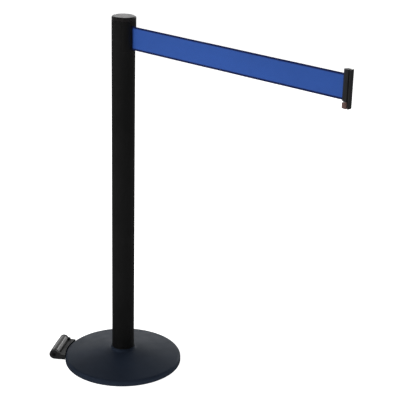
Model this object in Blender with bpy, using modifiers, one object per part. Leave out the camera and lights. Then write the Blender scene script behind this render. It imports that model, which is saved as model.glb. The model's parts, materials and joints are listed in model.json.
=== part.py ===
"""Retractable belt stanchion.

A weighted round base with a tilt roller carries a tubular post. The head of the post holds a cassette
with a sprung spool of webbing. The webbing leaves the head through a bezel and ends in a tongue that
drops into the receiver of the next post. Metres, +Z up; the belt leaves the post along +X.
"""

import math

import bmesh
import bpy
from mathutils import Matrix, Vector

# Overall sizes
HEIGHT = 1.016
POST_RADIUS = 0.03175
POST_WALL = 0.0016
BASE_RADIUS = 0.1685
BELT_WIDTH = 0.0635
BELT_THICKNESS = 0.0005
BELT_OUT = 0.6812
GAP = 0.0003

# Base
PAD_THICKNESS = 0.003
PAD_INSET = 0.004
COVER_LIFT = 0.001
COVER_WALL = 0.0015
COVER_SLOPE = math.radians(9.5)
SKIRT_TOP = 0.0100
SHOULDER_RADIUS = 0.0080
NECK_CLEARANCE = 0.0004
NECK_FILLET = 0.0070
NECK_LIP = 0.0015
WEIGHT_SKIRT_CLEARANCE = 0.0008
WEIGHT_TOP_CLEARANCE = 0.0060
WEIGHT_SEAT = 0.0260
WEIGHT_SEAT_CLEARANCE = 0.0006
BOLT_RADIUS = 0.0058
BOLT_HEAD_RADIUS = 0.0105
BOLT_HEAD_HEIGHT = 0.0075
BOLT_ENGAGEMENT = 0.0300
WASHER_RADIUS = 0.0120
WASHER_THICKNESS = 0.0024
COUNTERBORE_RADIUS = 0.0135
PLUG_HEIGHT = 0.0400

# Tilt roller on the base's rim
ROLLER_AZIMUTH = math.radians(211.0)
ROLLER_RADIUS = 0.0145
ROLLER_STANDOFF = 0.0265
ROLLER_FLOOR_CLEARANCE = 0.0015
BRACKET_WIDTH = 0.1050
ARM_THICKNESS = 0.0060
ARM_BOTTOM = 0.0020
ARM_TOP = 0.0225
ARM_BOSS_RADIUS = 0.0140
BRACKET_WALL = 0.0030
BRACKET_STEP = 0.0006
BRACKET_BODY_TOP = 0.0180
ROLLER_SIDE_CLEARANCE = 0.0008
ROLLER_BACK_CLEARANCE = 0.0012
AXLE_RADIUS = 0.0030
AXLE_HEAD_RADIUS = 0.0050
AXLE_HEAD_THICKNESS = 0.0014
BUSH_LENGTH = 0.0100
BUSH_WALL = 0.0020
BRACKET_SCREW_RADIUS = 0.0022
BRACKET_SCREW_HEAD_RADIUS = 0.0042
BRACKET_SCREW_DEPTH = 0.0140
BRACKET_SCREW_HEIGHT = 0.0080
BRACKET_SCREW_ANGLE = math.radians(8.0)

# Head: cap and bezel
CAP_HEIGHT = 0.0115
CAP_EDGE = 0.0035
CAP_SPIGOT_DEPTH = 0.0032
CAP_SPIGOT_WALL = 0.0022
BEZEL_PROUD = 0.0026
BEZEL_FLAT_ANGLE = math.radians(40.0)
BEZEL_FADE_ANGLE = math.radians(56.0)
BEZEL_EDGE_ANGLE = math.radians(49.0)
BEZEL_BELOW_BELT = 0.0045
SLOT_CLEARANCE = 0.0015
SLOT_HALF_WIDTH = 0.0018
WINDOW_HALF_WIDTH = 0.0112

# Head: cassette
BELT_DROP = 0.0234
FLANGE_THICKNESS = 0.0015
FLANGE_CLEARANCE = 0.0010
CASSETTE_WALL = 0.00185
SPOOL_CLEARANCE = 0.0008
CORE_RADIUS = 0.0105
ROLL_MARGIN = 0.0030
BRAKE_THICKNESS = 0.0021
BRAKE_INNER_RADIUS = 0.0080
BRAKE_OUTER_RADIUS = 0.0175
TOP_PLATE_THICKNESS = 0.0025
DIVIDER_THICKNESS = 0.0019
CUP_HEIGHT = 0.0240
CUP_FLOOR = 0.0020
SPINDLE_RADIUS = 0.0030
SPINDLE_HEAD_RADIUS = 0.0060
SPINDLE_HEAD_THICKNESS = 0.0020
CLIP_THICKNESS = 0.0010
CLIP_RADIUS = 0.0058
SPOOL_BUSH_LENGTH = 0.0120
SPOOL_BUSH_RADIUS = 0.0059
ARBOR_RADIUS = 0.0074
SPRING_WIDTH = 0.0160
SPRING_THICKNESS = 0.0004
SPRING_TURNS = 5
GUIDE_PIN_RADIUS = 0.0012
GUIDE_PIN_INSET = 0.00335
GUIDE_CHANNEL_HALF_WIDTH = 0.0060
CASSETTE_SCREW_RADIUS = 0.0016
CASSETTE_SCREW_HEAD_RADIUS = 0.0032
CASSETTE_SCREW_DEPTH = 0.0045
CASSETTE_SCREW_LIFT = 0.0055
CASSETTE_SCREW_AZIMUTHS = (math.radians(90.0), math.radians(180.0))

# Receiver at the back of the head
RECEIVER_SLOT_HALF_WIDTH = 0.0027
RECEIVER_SIDE_CLEARANCE = 0.0010
RECEIVER_DEPTH = 0.0044
RECEIVER_STOP = 0.0011

# Belt end
END_ABOVE_BELT = 0.0110
END_BELOW_BELT = 0.0180
END_BODY_LENGTH = 0.0150
END_HALF_THICKNESS = 0.0070
END_NOSE_HALF_THICKNESS = 0.0036
END_RAMP_LENGTH = 0.0060
END_CORNER = 0.0013
END_ROUNDING = 0.0006
NECK_LENGTH = 0.0027
TONGUE_FLANGE_THICKNESS = 0.0030
TONGUE_FLANGE_HALF_WIDTH = 0.0068
TONGUE_HALF_THICKNESS = 0.0012
TONGUE_ROOT = 0.0095
BELT_GRIP = 0.0089
SHELL_BELOW_BELT = 0.0016
LEVER_CLEARANCE = 0.0005
LEVER_SLOT_HALF_WIDTH = 0.0036
LEVER_PIN_X = 0.0120
LEVER_PIN_BELOW = 0.0050
LEVER_PIN_RADIUS = 0.0010
LEVER_RAMP = math.radians(14.0)
LEVER_NOSE_REACH = 0.0019
LEVER_NOSE_HEIGHT = 0.0024
LEVER_SPRING_WIRE = 0.00022
LEVER_SPRING_TURNS = 2.5
LATCH_CLEARANCE = 0.0005
END_SCREW_RADIUS = 0.0014
END_SCREW_HEAD_RADIUS = 0.0026
END_SCREW_HEAD_DEPTH = 0.0015
END_SCREW_TIP = 0.0050
END_SCREW_SPACING = 0.0520

# Worked out from the sizes above
TUBE_TOP = HEIGHT - CAP_HEIGHT
POST_BORE = POST_RADIUS - POST_WALL
BEZEL_FACE = POST_RADIUS + BEZEL_PROUD
BELT_TOP = HEIGHT - BELT_DROP
BELT_BOTTOM = BELT_TOP - BELT_WIDTH
BELT_MIDDLE = (BELT_TOP + BELT_BOTTOM) / 2
SPOOL_TOP = BELT_TOP + FLANGE_CLEARANCE + FLANGE_THICKNESS
SPOOL_BOTTOM = BELT_BOTTOM - FLANGE_CLEARANCE - FLANGE_THICKNESS
TOP_PLATE_BOTTOM = SPOOL_TOP + BRAKE_THICKNESS + 2 * GAP
TOP_PLATE_TOP = TOP_PLATE_BOTTOM + TOP_PLATE_THICKNESS
DIVIDER_TOP = SPOOL_BOTTOM - 2 * GAP
DIVIDER_BOTTOM = DIVIDER_TOP - DIVIDER_THICKNESS
CUP_TOP = DIVIDER_BOTTOM - GAP
CUP_BOTTOM = CUP_TOP - CUP_HEIGHT
CASSETTE_RADIUS = POST_BORE - GAP
CAVITY_RADIUS = CASSETTE_RADIUS - RECEIVER_DEPTH - CASSETTE_WALL
FLANGE_RADIUS = CAVITY_RADIUS - SPOOL_CLEARANCE
ROLL_RADIUS = FLANGE_RADIUS - ROLL_MARGIN
GUIDE_PIN_X = POST_BORE - GUIDE_PIN_INSET
END_X = BEZEL_FACE + BELT_OUT
END_TOP = BELT_TOP + END_ABOVE_BELT
END_BOTTOM = BELT_BOTTOM - END_BELOW_BELT
SHELL_BOTTOM = BELT_BOTTOM - SHELL_BELOW_BELT
LEVER_TOP = SHELL_BOTTOM - LEVER_CLEARANCE
LEVER_NOSE_HALF_WIDTH = END_HALF_THICKNESS - END_CORNER - END_ROUNDING
LEVER_PIN_Z = LEVER_TOP - LEVER_PIN_BELOW
RECEIVER_BOTTOM = END_BOTTOM - RECEIVER_STOP
RECEIVER_HALF_WIDTH = TONGUE_FLANGE_HALF_WIDTH + RECEIVER_SIDE_CLEARANCE
ROLLER_HEIGHT = ROLLER_RADIUS + ROLLER_FLOOR_CLEARANCE
ARM_INNER_FACE = BRACKET_WIDTH / 2 - ARM_THICKNESS
ROLLER_HALF_LENGTH = ARM_INNER_FACE - ROLLER_SIDE_CLEARANCE

# Fineness of round pieces
FINE_STEPS = 60
ROUND_STEPS = 40
SMALL_STEPS = 16
SCREW_STEPS = 12
BOSS_STEPS = 32

MATERIALS = {
    "navy_black_paint": ((0.016, 0.022, 0.038, 1.0), 0.38, 0.0),
    "satin_black_tube": ((0.012, 0.012, 0.012, 1.0), 0.45, 0.0),
    "black_plastic": ((0.016, 0.016, 0.017, 1.0), 0.42, 0.0),
    "dark_brown_plastic": ((0.040, 0.024, 0.021, 1.0), 0.35, 0.0),
    "black_rubber": ((0.014, 0.014, 0.014, 1.0), 0.80, 0.0),
    "roller_nylon": ((0.020, 0.019, 0.019, 1.0), 0.22, 0.0),
    "cast_iron": ((0.090, 0.088, 0.086, 1.0), 0.70, 0.6),
    "zinc_steel": ((0.550, 0.550, 0.540, 1.0), 0.35, 1.0),
    "spring_steel": ((0.300, 0.320, 0.360, 1.0), 0.30, 1.0),
    "bronze": ((0.520, 0.340, 0.160, 1.0), 0.40, 1.0),
    "white_acetal": ((0.720, 0.720, 0.700, 1.0), 0.40, 0.0),
    "grey_felt": ((0.180, 0.175, 0.170, 1.0), 0.95, 0.0),
    "blue_webbing": ((0.034, 0.088, 0.360, 1.0), 0.75, 0.0),
}


def clear_scene():
    """Removes whatever the file opened with."""
    for item in list(bpy.data.objects):
        bpy.data.objects.remove(item)


def make_collection(name):
    """Adds a collection to the scene."""
    made = bpy.data.collections.new(name)
    bpy.context.scene.collection.children.link(made)
    return made


def make_material(name, slot):
    """One piece's own Principled material in the finish named slot."""
    color, roughness, metallic = MATERIALS[slot]
    material = bpy.data.materials.new(f"{name}_{slot}")
    material.use_nodes = True
    shader = material.node_tree.nodes["Principled BSDF"]
    shader.inputs["Base Color"].default_value = color
    shader.inputs["Roughness"].default_value = roughness
    shader.inputs["Metallic"].default_value = metallic
    return material


def make_empty(name, location, turn=0.0):
    """A frame that pieces hang from, turned about Z."""
    empty = bpy.data.objects.new(name, None)
    empty.empty_display_size = 0.02
    empty.location = location
    empty.rotation_euler = (0.0, 0.0, turn)
    PARTS.objects.link(empty)
    return empty


def place(obj, location=(0.0, 0.0, 0.0), rotation=(0.0, 0.0, 0.0), parent=None):
    """Puts an object in its parent's frame."""
    obj.location = location
    obj.rotation_euler = rotation
    if parent is not None:
        obj.parent = parent
    return obj


def add_piece(name, mesh, slot, smooth_angle=35.0):
    """Makes a named object of a mesh, in its own material and shaded smooth where it is round."""
    obj = bpy.data.objects.new(name, mesh)
    PARTS.objects.link(obj)
    mesh.materials.clear()
    mesh.materials.append(make_material(name, slot))
    mesh.shade_smooth()
    mesh.set_sharp_from_angle(angle=math.radians(smooth_angle))
    return obj


def add_cutter(name, mesh):
    """Makes a hidden object that only shapes others."""
    obj = bpy.data.objects.new(name, mesh)
    CUTTERS.objects.link(obj)
    obj.hide_render = True
    obj.display_type = "WIRE"
    return obj


def boolean(obj, tool, operation):
    """Cuts a tool from an object, or joins it to the object."""
    modifier = obj.modifiers.new(f"{operation.lower()}_{tool.name}", "BOOLEAN")
    modifier.operation = operation
    modifier.solver = "EXACT"
    modifier.object = tool
    return obj


def box_mesh(name, low, high):
    """A box between two corners."""
    low, high = Vector(low), Vector(high)
    mesh = bpy.data.meshes.new(name)
    build = bmesh.new()
    size = Matrix.Diagonal((*(high - low), 1.0))
    bmesh.ops.create_cube(build, size=1.0, matrix=Matrix.Translation((low + high) / 2) @ size)
    build.to_mesh(mesh)
    build.free()
    return mesh


def cylinder_mesh(name, radius, low, high, steps, upper_radius=None):
    """A cylinder, or a cone, along Z from low to high."""
    mesh = bpy.data.meshes.new(name)
    build = bmesh.new()
    bmesh.ops.create_cone(
        build,
        cap_ends=True,
        segments=steps,
        radius1=radius,
        radius2=radius if upper_radius is None else upper_radius,
        depth=high - low,
        matrix=Matrix.Translation((0.0, 0.0, (low + high) / 2)),
    )
    build.to_mesh(mesh)
    build.free()
    return mesh


def turned(name, profile, slot, steps, closed=False):
    """A piece turned about Z. The profile of (radius, height) runs down its outer side."""
    mesh = bpy.data.meshes.new(name)
    points = [(radius, 0.0, height) for radius, height in profile]
    edges = [(i, i + 1) for i in range(len(points) - 1)]
    if closed:
        edges.append((len(points) - 1, 0))
    mesh.from_pydata(points, edges, [])
    obj = add_piece(name, mesh, slot)
    screw = obj.modifiers.new("turn", "SCREW")
    screw.axis = "Z"
    screw.angle = math.tau
    screw.steps = steps
    screw.render_steps = steps
    screw.use_merge_vertices = True
    screw.merge_threshold = 0.00001
    screw.use_smooth_shade = True
    return obj


def ring(name, inner, outer, low, high, slot, steps):
    """A turned ring with a plain rectangular section."""
    profile = [(inner, high), (outer, high), (outer, low), (inner, low)]
    return turned(name, profile, slot, steps, closed=True)


def curve_to_mesh(curve_object, name):
    """The mesh of a curve object, its caps welded on, and the curve removed."""
    bpy.context.view_layer.update()
    graph = bpy.context.evaluated_depsgraph_get()
    mesh = bpy.data.meshes.new_from_object(curve_object.evaluated_get(graph))
    mesh.name = name
    build = bmesh.new()
    build.from_mesh(mesh)
    bmesh.ops.remove_doubles(build, verts=build.verts, dist=0.00001)
    build.to_mesh(mesh)
    build.free()
    bpy.data.objects.remove(curve_object)
    return mesh


def outline_mesh(name, outline, low, high):
    """A flat outline of (x, y) points extruded along Z from low to high."""
    curve = bpy.data.curves.new(name, "CURVE")
    curve.dimensions = "2D"
    curve.fill_mode = "BOTH"
    curve.extrude = (high - low) / 2
    spline = curve.splines.new("POLY")
    spline.points.add(len(outline) - 1)
    for point, (x, y) in zip(spline.points, outline):
        point.co = (x, y, 0.0, 1.0)
    spline.use_cyclic_u = True
    holder = bpy.data.objects.new(f"{name}_outline", curve)
    PARTS.objects.link(holder)
    mesh = curve_to_mesh(holder, name)
    mesh.transform(Matrix.Translation((0.0, 0.0, (low + high) / 2)))
    return mesh


def wire_mesh(name, points, radius, sides):
    """A round wire with filled ends through a list of points."""
    curve = bpy.data.curves.new(name, "CURVE")
    curve.dimensions = "3D"
    curve.bevel_depth = radius
    curve.bevel_resolution = sides
    curve.render_resolution_u = 0
    curve.use_fill_caps = True
    spline = curve.splines.new("POLY")
    spline.points.add(len(points) - 1)
    for point, co in zip(spline.points, points):
        point.co = (*co, 1.0)
    holder = bpy.data.objects.new(f"{name}_path", curve)
    PARTS.objects.link(holder)
    return curve_to_mesh(holder, name)


def strip_mesh(name, path, thickness, low, high):
    """A flat band on edge: a path of (x, y) points given a thickness, standing from low to high."""
    near, far = [], []
    for i, (x, y) in enumerate(path):
        before = Vector(path[max(i - 1, 0)])
        after = Vector(path[min(i + 1, len(path) - 1)])
        along = (after - before).normalized()
        side = Vector((-along.y, along.x)) * thickness / 2
        near.append((x + side.x, y + side.y))
        far.append((x - side.x, y - side.y))
    return outline_mesh(name, far + near[::-1], low, high)


def round_edges(obj, width, segments):
    """Rounds an object's sharp edges."""
    bevel = obj.modifiers.new("rounding", "BEVEL")
    bevel.width = width
    bevel.segments = segments
    bevel.limit_method = "ANGLE"
    bevel.angle_limit = math.radians(30.0)
    return obj


def arc(center, radius, start, end, steps):
    """Points (x, y) along an arc from one angle to another, both ends included."""
    angles = [start + (end - start) * i / steps for i in range(steps + 1)]
    return [(center[0] + radius * math.cos(a), center[1] + radius * math.sin(a)) for a in angles]


def fade(angle):
    """Share of the bezel's height above the post at an angle from the belt's direction."""
    t = (abs(angle) - BEZEL_FLAT_ANGLE) / (BEZEL_FADE_ANGLE - BEZEL_FLAT_ANGLE)
    t = min(max(t, 0.0), 1.0)
    return 1.0 - t * t * (3.0 - 2.0 * t)


def head_point(angle):
    """A point on the head's outline, which swells over the bezel."""
    radius = POST_RADIUS + BEZEL_PROUD * fade(angle)
    return (radius * math.cos(angle), radius * math.sin(angle))


# ---------------------------------------------------------------- base


def cover_profile(offset, steps):
    """The base cover's section at a distance inside its outer skin, from the neck down to the skirt."""
    neck = POST_RADIUS + NECK_CLEARANCE + COVER_WALL
    shoulder_center = (BASE_RADIUS - SHOULDER_RADIUS, SKIRT_TOP)
    shoulder_end_r = shoulder_center[0] + SHOULDER_RADIUS * math.sin(COVER_SLOPE)
    shoulder_end_z = shoulder_center[1] + SHOULDER_RADIUS * math.cos(COVER_SLOPE)
    fillet_r = neck + NECK_FILLET
    tangent_r = fillet_r - NECK_FILLET * math.sin(COVER_SLOPE)
    rise = (shoulder_end_r - tangent_r) * math.tan(COVER_SLOPE)
    fillet_z = shoulder_end_z + rise + NECK_FILLET * math.cos(COVER_SLOPE)
    points = [(neck - offset, fillet_z + NECK_LIP)]
    points += arc((fillet_r, fillet_z), NECK_FILLET + offset, math.pi, 1.5 * math.pi - COVER_SLOPE, steps)
    points += arc(shoulder_center, SHOULDER_RADIUS - offset, math.pi / 2 - COVER_SLOPE, 0.0, steps)
    points.append((BASE_RADIUS - offset, COVER_LIFT))
    return points


def weight_top(radius):
    """Height of the weight's sloped top at a radius."""
    shoulder_r = BASE_RADIUS - SHOULDER_RADIUS + SHOULDER_RADIUS * math.sin(COVER_SLOPE)
    shoulder_z = SKIRT_TOP + SHOULDER_RADIUS * math.cos(COVER_SLOPE)
    skin = shoulder_z + (shoulder_r - radius) * math.tan(COVER_SLOPE)
    return skin - COVER_WALL - WEIGHT_TOP_CLEARANCE


def make_floor_pad():
    """The full rubber disc under the base."""
    radius = BASE_RADIUS - PAD_INSET
    edge = PAD_THICKNESS / 3
    profile = [
        (0.0, PAD_THICKNESS),
        (radius - edge, PAD_THICKNESS),
        (radius, PAD_THICKNESS - edge),
        (radius, edge),
        (radius - edge, 0.0),
        (0.0, 0.0),
    ]
    turned("floor_pad", profile, "black_rubber", FINE_STEPS)


def make_base_weight(screw_cutters):
    """The cast disc that keeps the post upright, bored for the tie bolt and the bracket's screws."""
    bottom = PAD_THICKNESS + GAP
    outer = BASE_RADIUS - COVER_WALL - WEIGHT_SKIRT_CLEARANCE
    seat = POST_RADIUS + WEIGHT_SEAT_CLEARANCE
    edge = outer - SHOULDER_RADIUS
    ledge = bottom + GAP + BOLT_HEAD_HEIGHT + WASHER_THICKNESS + 2 * GAP
    bore = BOLT_RADIUS + GAP
    profile = [
        (bore, WEIGHT_SEAT),
        (seat, WEIGHT_SEAT),
        (seat, weight_top(seat)),
        (edge, weight_top(edge)),
        (outer, weight_top(edge) - SHOULDER_RADIUS / 2),
        (outer, bottom),
        (COUNTERBORE_RADIUS, bottom),
        (COUNTERBORE_RADIUS, ledge),
        (bore, ledge),
    ]
    weight = turned("base_weight", profile, "cast_iron", FINE_STEPS, closed=True)
    for cutter in screw_cutters:
        boolean(weight, cutter, "DIFFERENCE")


def make_base_cover(screw_cutters):
    """The pressed steel dome over the weight."""
    outer = cover_profile(0.0, 4)
    inner = cover_profile(COVER_WALL, 2)
    cover = turned("base_cover", outer + inner[::-1], "navy_black_paint", FINE_STEPS, closed=True)
    for cutter in screw_cutters:
        boolean(cover, cutter, "DIFFERENCE")


def make_tie_bolt():
    """The hexagon bolt from below that pulls the post down on the weight."""
    low = PAD_THICKNESS + 2 * GAP
    neck = low + BOLT_HEAD_HEIGHT
    bolt = add_piece("tie_bolt", cylinder_mesh("tie_bolt", BOLT_HEAD_RADIUS, low, neck, 6), "zinc_steel")
    top = WEIGHT_SEAT + GAP + BOLT_ENGAGEMENT
    middle = (low + neck) / 2
    shank = cylinder_mesh("tie_bolt_shank", BOLT_RADIUS, middle, top, SMALL_STEPS)
    boolean(bolt, add_cutter("tie_bolt_shank", shank), "UNION")
    seat = neck + GAP
    ring(
        "tie_bolt_washer",
        BOLT_RADIUS + GAP,
        WASHER_RADIUS,
        seat,
        seat + WASHER_THICKNESS,
        "zinc_steel",
        SMALL_STEPS,
    )


def make_foot_plug():
    """The steel plug welded into the tube's foot, tapped for the tie bolt."""
    low = WEIGHT_SEAT + GAP
    radius = POST_BORE - GAP
    tap = BOLT_RADIUS + GAP
    depth = low + BOLT_ENGAGEMENT + 2 * GAP
    profile = [
        (0.0, low + PLUG_HEIGHT),
        (radius, low + PLUG_HEIGHT),
        (radius, low),
        (tap, low),
        (tap, depth),
        (0.0, depth),
    ]
    turned("foot_plug", profile, "zinc_steel", ROUND_STEPS)


# ---------------------------------------------------------------- tilt roller


def make_bracket_screw_cutters(frame):
    """Clearance holes from the bracket through the cover's skirt into the weight, and the head pockets."""
    holes, pockets = [], []
    shelf = BASE_RADIUS + GAP + BRACKET_WALL
    for label, angle in (("left", -BRACKET_SCREW_ANGLE), ("right", BRACKET_SCREW_ANGLE)):
        turn = Matrix.Rotation(angle, 4, "Z") @ Matrix.Rotation(math.pi / 2, 4, "Y")
        start = BASE_RADIUS - BRACKET_SCREW_DEPTH - GAP
        hole_mesh = cylinder_mesh("hole", BRACKET_SCREW_RADIUS + GAP, start, shelf + GAP, SCREW_STEPS)
        hole_mesh.transform(turn)
        hole = add_cutter(f"bracket_screw_hole_{label}", hole_mesh)
        holes.append(place(hole, (0.0, 0.0, BRACKET_SCREW_HEIGHT), parent=frame))
        end = BASE_RADIUS + ROLLER_STANDOFF
        pocket_mesh = cylinder_mesh("pocket", BRACKET_SCREW_HEAD_RADIUS + GAP, shelf, end, SCREW_STEPS)
        pocket_mesh.transform(turn)
        pocket = add_cutter(f"bracket_screw_pocket_{label}", pocket_mesh)
        pockets.append(place(pocket, (0.0, 0.0, BRACKET_SCREW_HEIGHT), parent=frame))
    return holes, pockets


def make_roller_bracket(frame, screw_cutters):
    """The bracket: a body that hugs the rim behind the roller, and two arms with round ends for the axle."""
    near = BASE_RADIUS + GAP
    half = BRACKET_WIDTH / 2
    body_half = half - BRACKET_STEP
    axle_r = BASE_RADIUS + ROLLER_STANDOFF
    front = axle_r - ROLLER_RADIUS - ROLLER_BACK_CLEARANCE
    outline = arc((0.0, 0.0), near, math.asin(body_half / near), -math.asin(body_half / near), 16)
    outline += [(front, -body_half), (front, body_half)]
    mesh = outline_mesh("roller_bracket", outline, ARM_BOTTOM + BRACKET_STEP, BRACKET_BODY_TOP)
    bracket = add_piece("roller_bracket", mesh, "black_plastic")
    place(bracket, parent=frame)
    root = front - BRACKET_WALL
    up = Matrix.Rotation(math.pi / 2, 4, "X")
    for label, side in (("near", 1.0), ("far", -1.0)):
        faces = sorted((side * ARM_INNER_FACE, side * half))
        bar = [(root, ARM_BOTTOM), (axle_r, ARM_BOTTOM), (axle_r, ARM_TOP), (root, ARM_TOP)]
        arm_mesh = outline_mesh(f"arm_{label}", bar, -faces[1], -faces[0])
        arm_mesh.transform(up)
        arm = add_cutter(f"roller_arm_{label}", arm_mesh)
        place(arm, parent=frame)
        boolean(bracket, arm, "UNION")
        boss_mesh = cylinder_mesh(f"boss_{label}", ARM_BOSS_RADIUS, -faces[1], -faces[0], BOSS_STEPS)
        boss_mesh.transform(Matrix.Translation((axle_r, 0.0, ROLLER_HEIGHT)) @ up)
        boss = add_cutter(f"roller_boss_{label}", boss_mesh)
        place(boss, parent=frame)
        boolean(bracket, boss, "UNION")
    bore_mesh = cylinder_mesh("axle_bore", AXLE_RADIUS + GAP / 2, -half - GAP, half + GAP, SMALL_STEPS)
    bore_mesh.transform(Matrix.Translation((axle_r, 0.0, ROLLER_HEIGHT)) @ up)
    bore = add_cutter("axle_bore", bore_mesh)
    place(bore, parent=frame)
    boolean(bracket, bore, "DIFFERENCE")
    for cutter in screw_cutters:
        boolean(bracket, cutter, "DIFFERENCE")


def make_bracket_screws(frame):
    """Two button-head screws that hold the bracket to the weight through the cover's skirt."""
    for label, angle in (("left", -BRACKET_SCREW_ANGLE), ("right", BRACKET_SCREW_ANGLE)):
        plate = BASE_RADIUS + GAP + BRACKET_WALL + GAP
        tip = BASE_RADIUS - BRACKET_SCREW_DEPTH
        head = BRACKET_SCREW_HEAD_RADIUS
        profile = [
            (0.0, plate + head / 2),
            (head * 0.7, plate + head / 3),
            (head, plate),
            (BRACKET_SCREW_RADIUS, plate),
            (BRACKET_SCREW_RADIUS, tip),
            (0.0, tip),
        ]
        screw = turned(f"bracket_screw_{label}", profile, "zinc_steel", SCREW_STEPS)
        place(screw, (0.0, 0.0, BRACKET_SCREW_HEIGHT), (0.0, math.pi / 2, angle), frame)


def make_roller(axis):
    """The tilt roller, its two bushes, and the axle with its head and clip."""
    half = ROLLER_HALF_LENGTH
    lay = (-math.pi / 2, 0.0, 0.0)
    edge = ROLLER_RADIUS / 12
    bush_outer = AXLE_RADIUS + GAP + BUSH_WALL
    seat = bush_outer + GAP
    profile = [
        (seat, half),
        (ROLLER_RADIUS - edge, half),
        (ROLLER_RADIUS, half - edge),
        (ROLLER_RADIUS, -half + edge),
        (ROLLER_RADIUS - edge, -half),
        (seat, -half),
    ]
    barrel = turned("roller", profile, "roller_nylon", ROUND_STEPS, closed=True)
    place(barrel, (0, 0, 0), lay, axis)
    for label, high in (("near", half), ("far", -half + BUSH_LENGTH)):
        bush = ring(
            f"roller_bush_{label}",
            AXLE_RADIUS + GAP,
            bush_outer,
            high - BUSH_LENGTH,
            high,
            "white_acetal",
            SMALL_STEPS,
        )
        place(bush, (0, 0, 0), lay, axis)
    face = BRACKET_WIDTH / 2 + GAP
    tail = -face - CLIP_THICKNESS - GAP
    shaft = [
        (0.0, face + AXLE_HEAD_THICKNESS),
        (AXLE_HEAD_RADIUS, face + AXLE_HEAD_THICKNESS),
        (AXLE_HEAD_RADIUS, face),
        (AXLE_RADIUS, face),
        (AXLE_RADIUS, tail),
        (0.0, tail),
    ]
    place(turned("roller_axle", shaft, "zinc_steel", SMALL_STEPS), (0, 0, 0), lay, axis)
    clip = ring(
        "roller_axle_clip",
        AXLE_RADIUS + GAP,
        AXLE_HEAD_RADIUS + GAP,
        -face - CLIP_THICKNESS,
        -face,
        "spring_steel",
        SMALL_STEPS,
    )
    place(clip, (0, 0, 0), lay, axis)


# ---------------------------------------------------------------- post and head


def make_receiver_cutter():
    """A T-shaped channel down the back of the head, which takes the tongue of another belt."""
    inner = -(CASSETTE_RADIUS - RECEIVER_DEPTH)
    outer = -2 * POST_RADIUS
    wide, narrow = RECEIVER_HALF_WIDTH, RECEIVER_SLOT_HALF_WIDTH
    wide_angle = math.pi - math.asin(wide / POST_BORE)
    narrow_angle = math.pi - math.asin(narrow / POST_BORE)
    outline = [(inner, -wide), (inner, wide)]
    outline += arc((0.0, 0.0), POST_BORE, wide_angle, narrow_angle, 3)
    outline += [(outer, narrow), (outer, -narrow)]
    outline += arc((0.0, 0.0), POST_BORE, -narrow_angle, -wide_angle, 3)
    mesh = outline_mesh("receiver_channel", outline, RECEIVER_BOTTOM, HEIGHT + CAP_HEIGHT)
    return add_cutter("receiver_channel", mesh)


def make_post_tube(screw_heads):
    """The tube, with a window for the bezel, and a slot and a latch notch for another belt's tongue."""
    tube = ring(
        "post_tube", POST_BORE, POST_RADIUS, WEIGHT_SEAT + GAP, TUBE_TOP, "satin_black_tube", FINE_STEPS
    )
    window = box_mesh(
        "bezel_window",
        (0.0, -WINDOW_HALF_WIDTH, BELT_BOTTOM - BEZEL_BELOW_BELT - GAP),
        (2 * POST_RADIUS, WINDOW_HALF_WIDTH, HEIGHT),
    )
    boolean(tube, add_cutter("bezel_window", window), "DIFFERENCE")
    slot = box_mesh(
        "receiver_slot",
        (-2 * POST_RADIUS, -RECEIVER_SLOT_HALF_WIDTH, RECEIVER_BOTTOM),
        (0.0, RECEIVER_SLOT_HALF_WIDTH, HEIGHT),
    )
    boolean(tube, add_cutter("receiver_slot", slot), "DIFFERENCE")
    latch_half = LEVER_NOSE_HALF_WIDTH + LATCH_CLEARANCE
    latch = box_mesh(
        "latch_notch",
        (-2 * POST_RADIUS, -latch_half, RECEIVER_BOTTOM + LEVER_NOSE_HEIGHT / 2 - LATCH_CLEARANCE),
        (0.0, latch_half, RECEIVER_BOTTOM + 3 * LEVER_NOSE_HEIGHT / 2 + LATCH_CLEARANCE),
    )
    boolean(tube, add_cutter("latch_notch", latch), "DIFFERENCE")
    for cutter in screw_heads:
        boolean(tube, cutter, "DIFFERENCE")


def make_top_cap(receiver):
    """The moulded cap, with a rounded top edge and a spigot that presses into the tube."""
    low = TUBE_TOP + GAP
    steps = FINE_STEPS
    outline = [head_point(math.tau * i / steps - math.pi) for i in range(steps)]
    plate = outline_mesh("top_cap", outline, low, HEIGHT)
    build = bmesh.new()
    build.from_mesh(plate)
    top = [e for e in build.edges if all(v.co.z > HEIGHT - GAP for v in e.verts) and len(e.link_faces) == 2]
    rim = [e for e in top if any(abs(f.normal.z) < 0.5 for f in e.link_faces)]
    bmesh.ops.bevel(build, geom=rim, offset=CAP_EDGE, segments=2, affect="EDGES", profile=0.5)
    build.to_mesh(plate)
    build.free()
    cap = add_piece("top_cap", plate, "black_plastic")
    outer = CASSETTE_RADIUS
    spigot = cylinder_mesh("cap_spigot", outer, low - CAP_SPIGOT_DEPTH, low + CAP_HEIGHT / 4, ROUND_STEPS)
    boolean(cap, add_cutter("cap_spigot", spigot), "UNION")
    hollow = cylinder_mesh(
        "cap_hollow", outer - CAP_SPIGOT_WALL, low - 2 * CAP_SPIGOT_DEPTH, low, ROUND_STEPS
    )
    boolean(cap, add_cutter("cap_hollow", hollow), "DIFFERENCE")
    boolean(cap, receiver, "DIFFERENCE")


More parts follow.
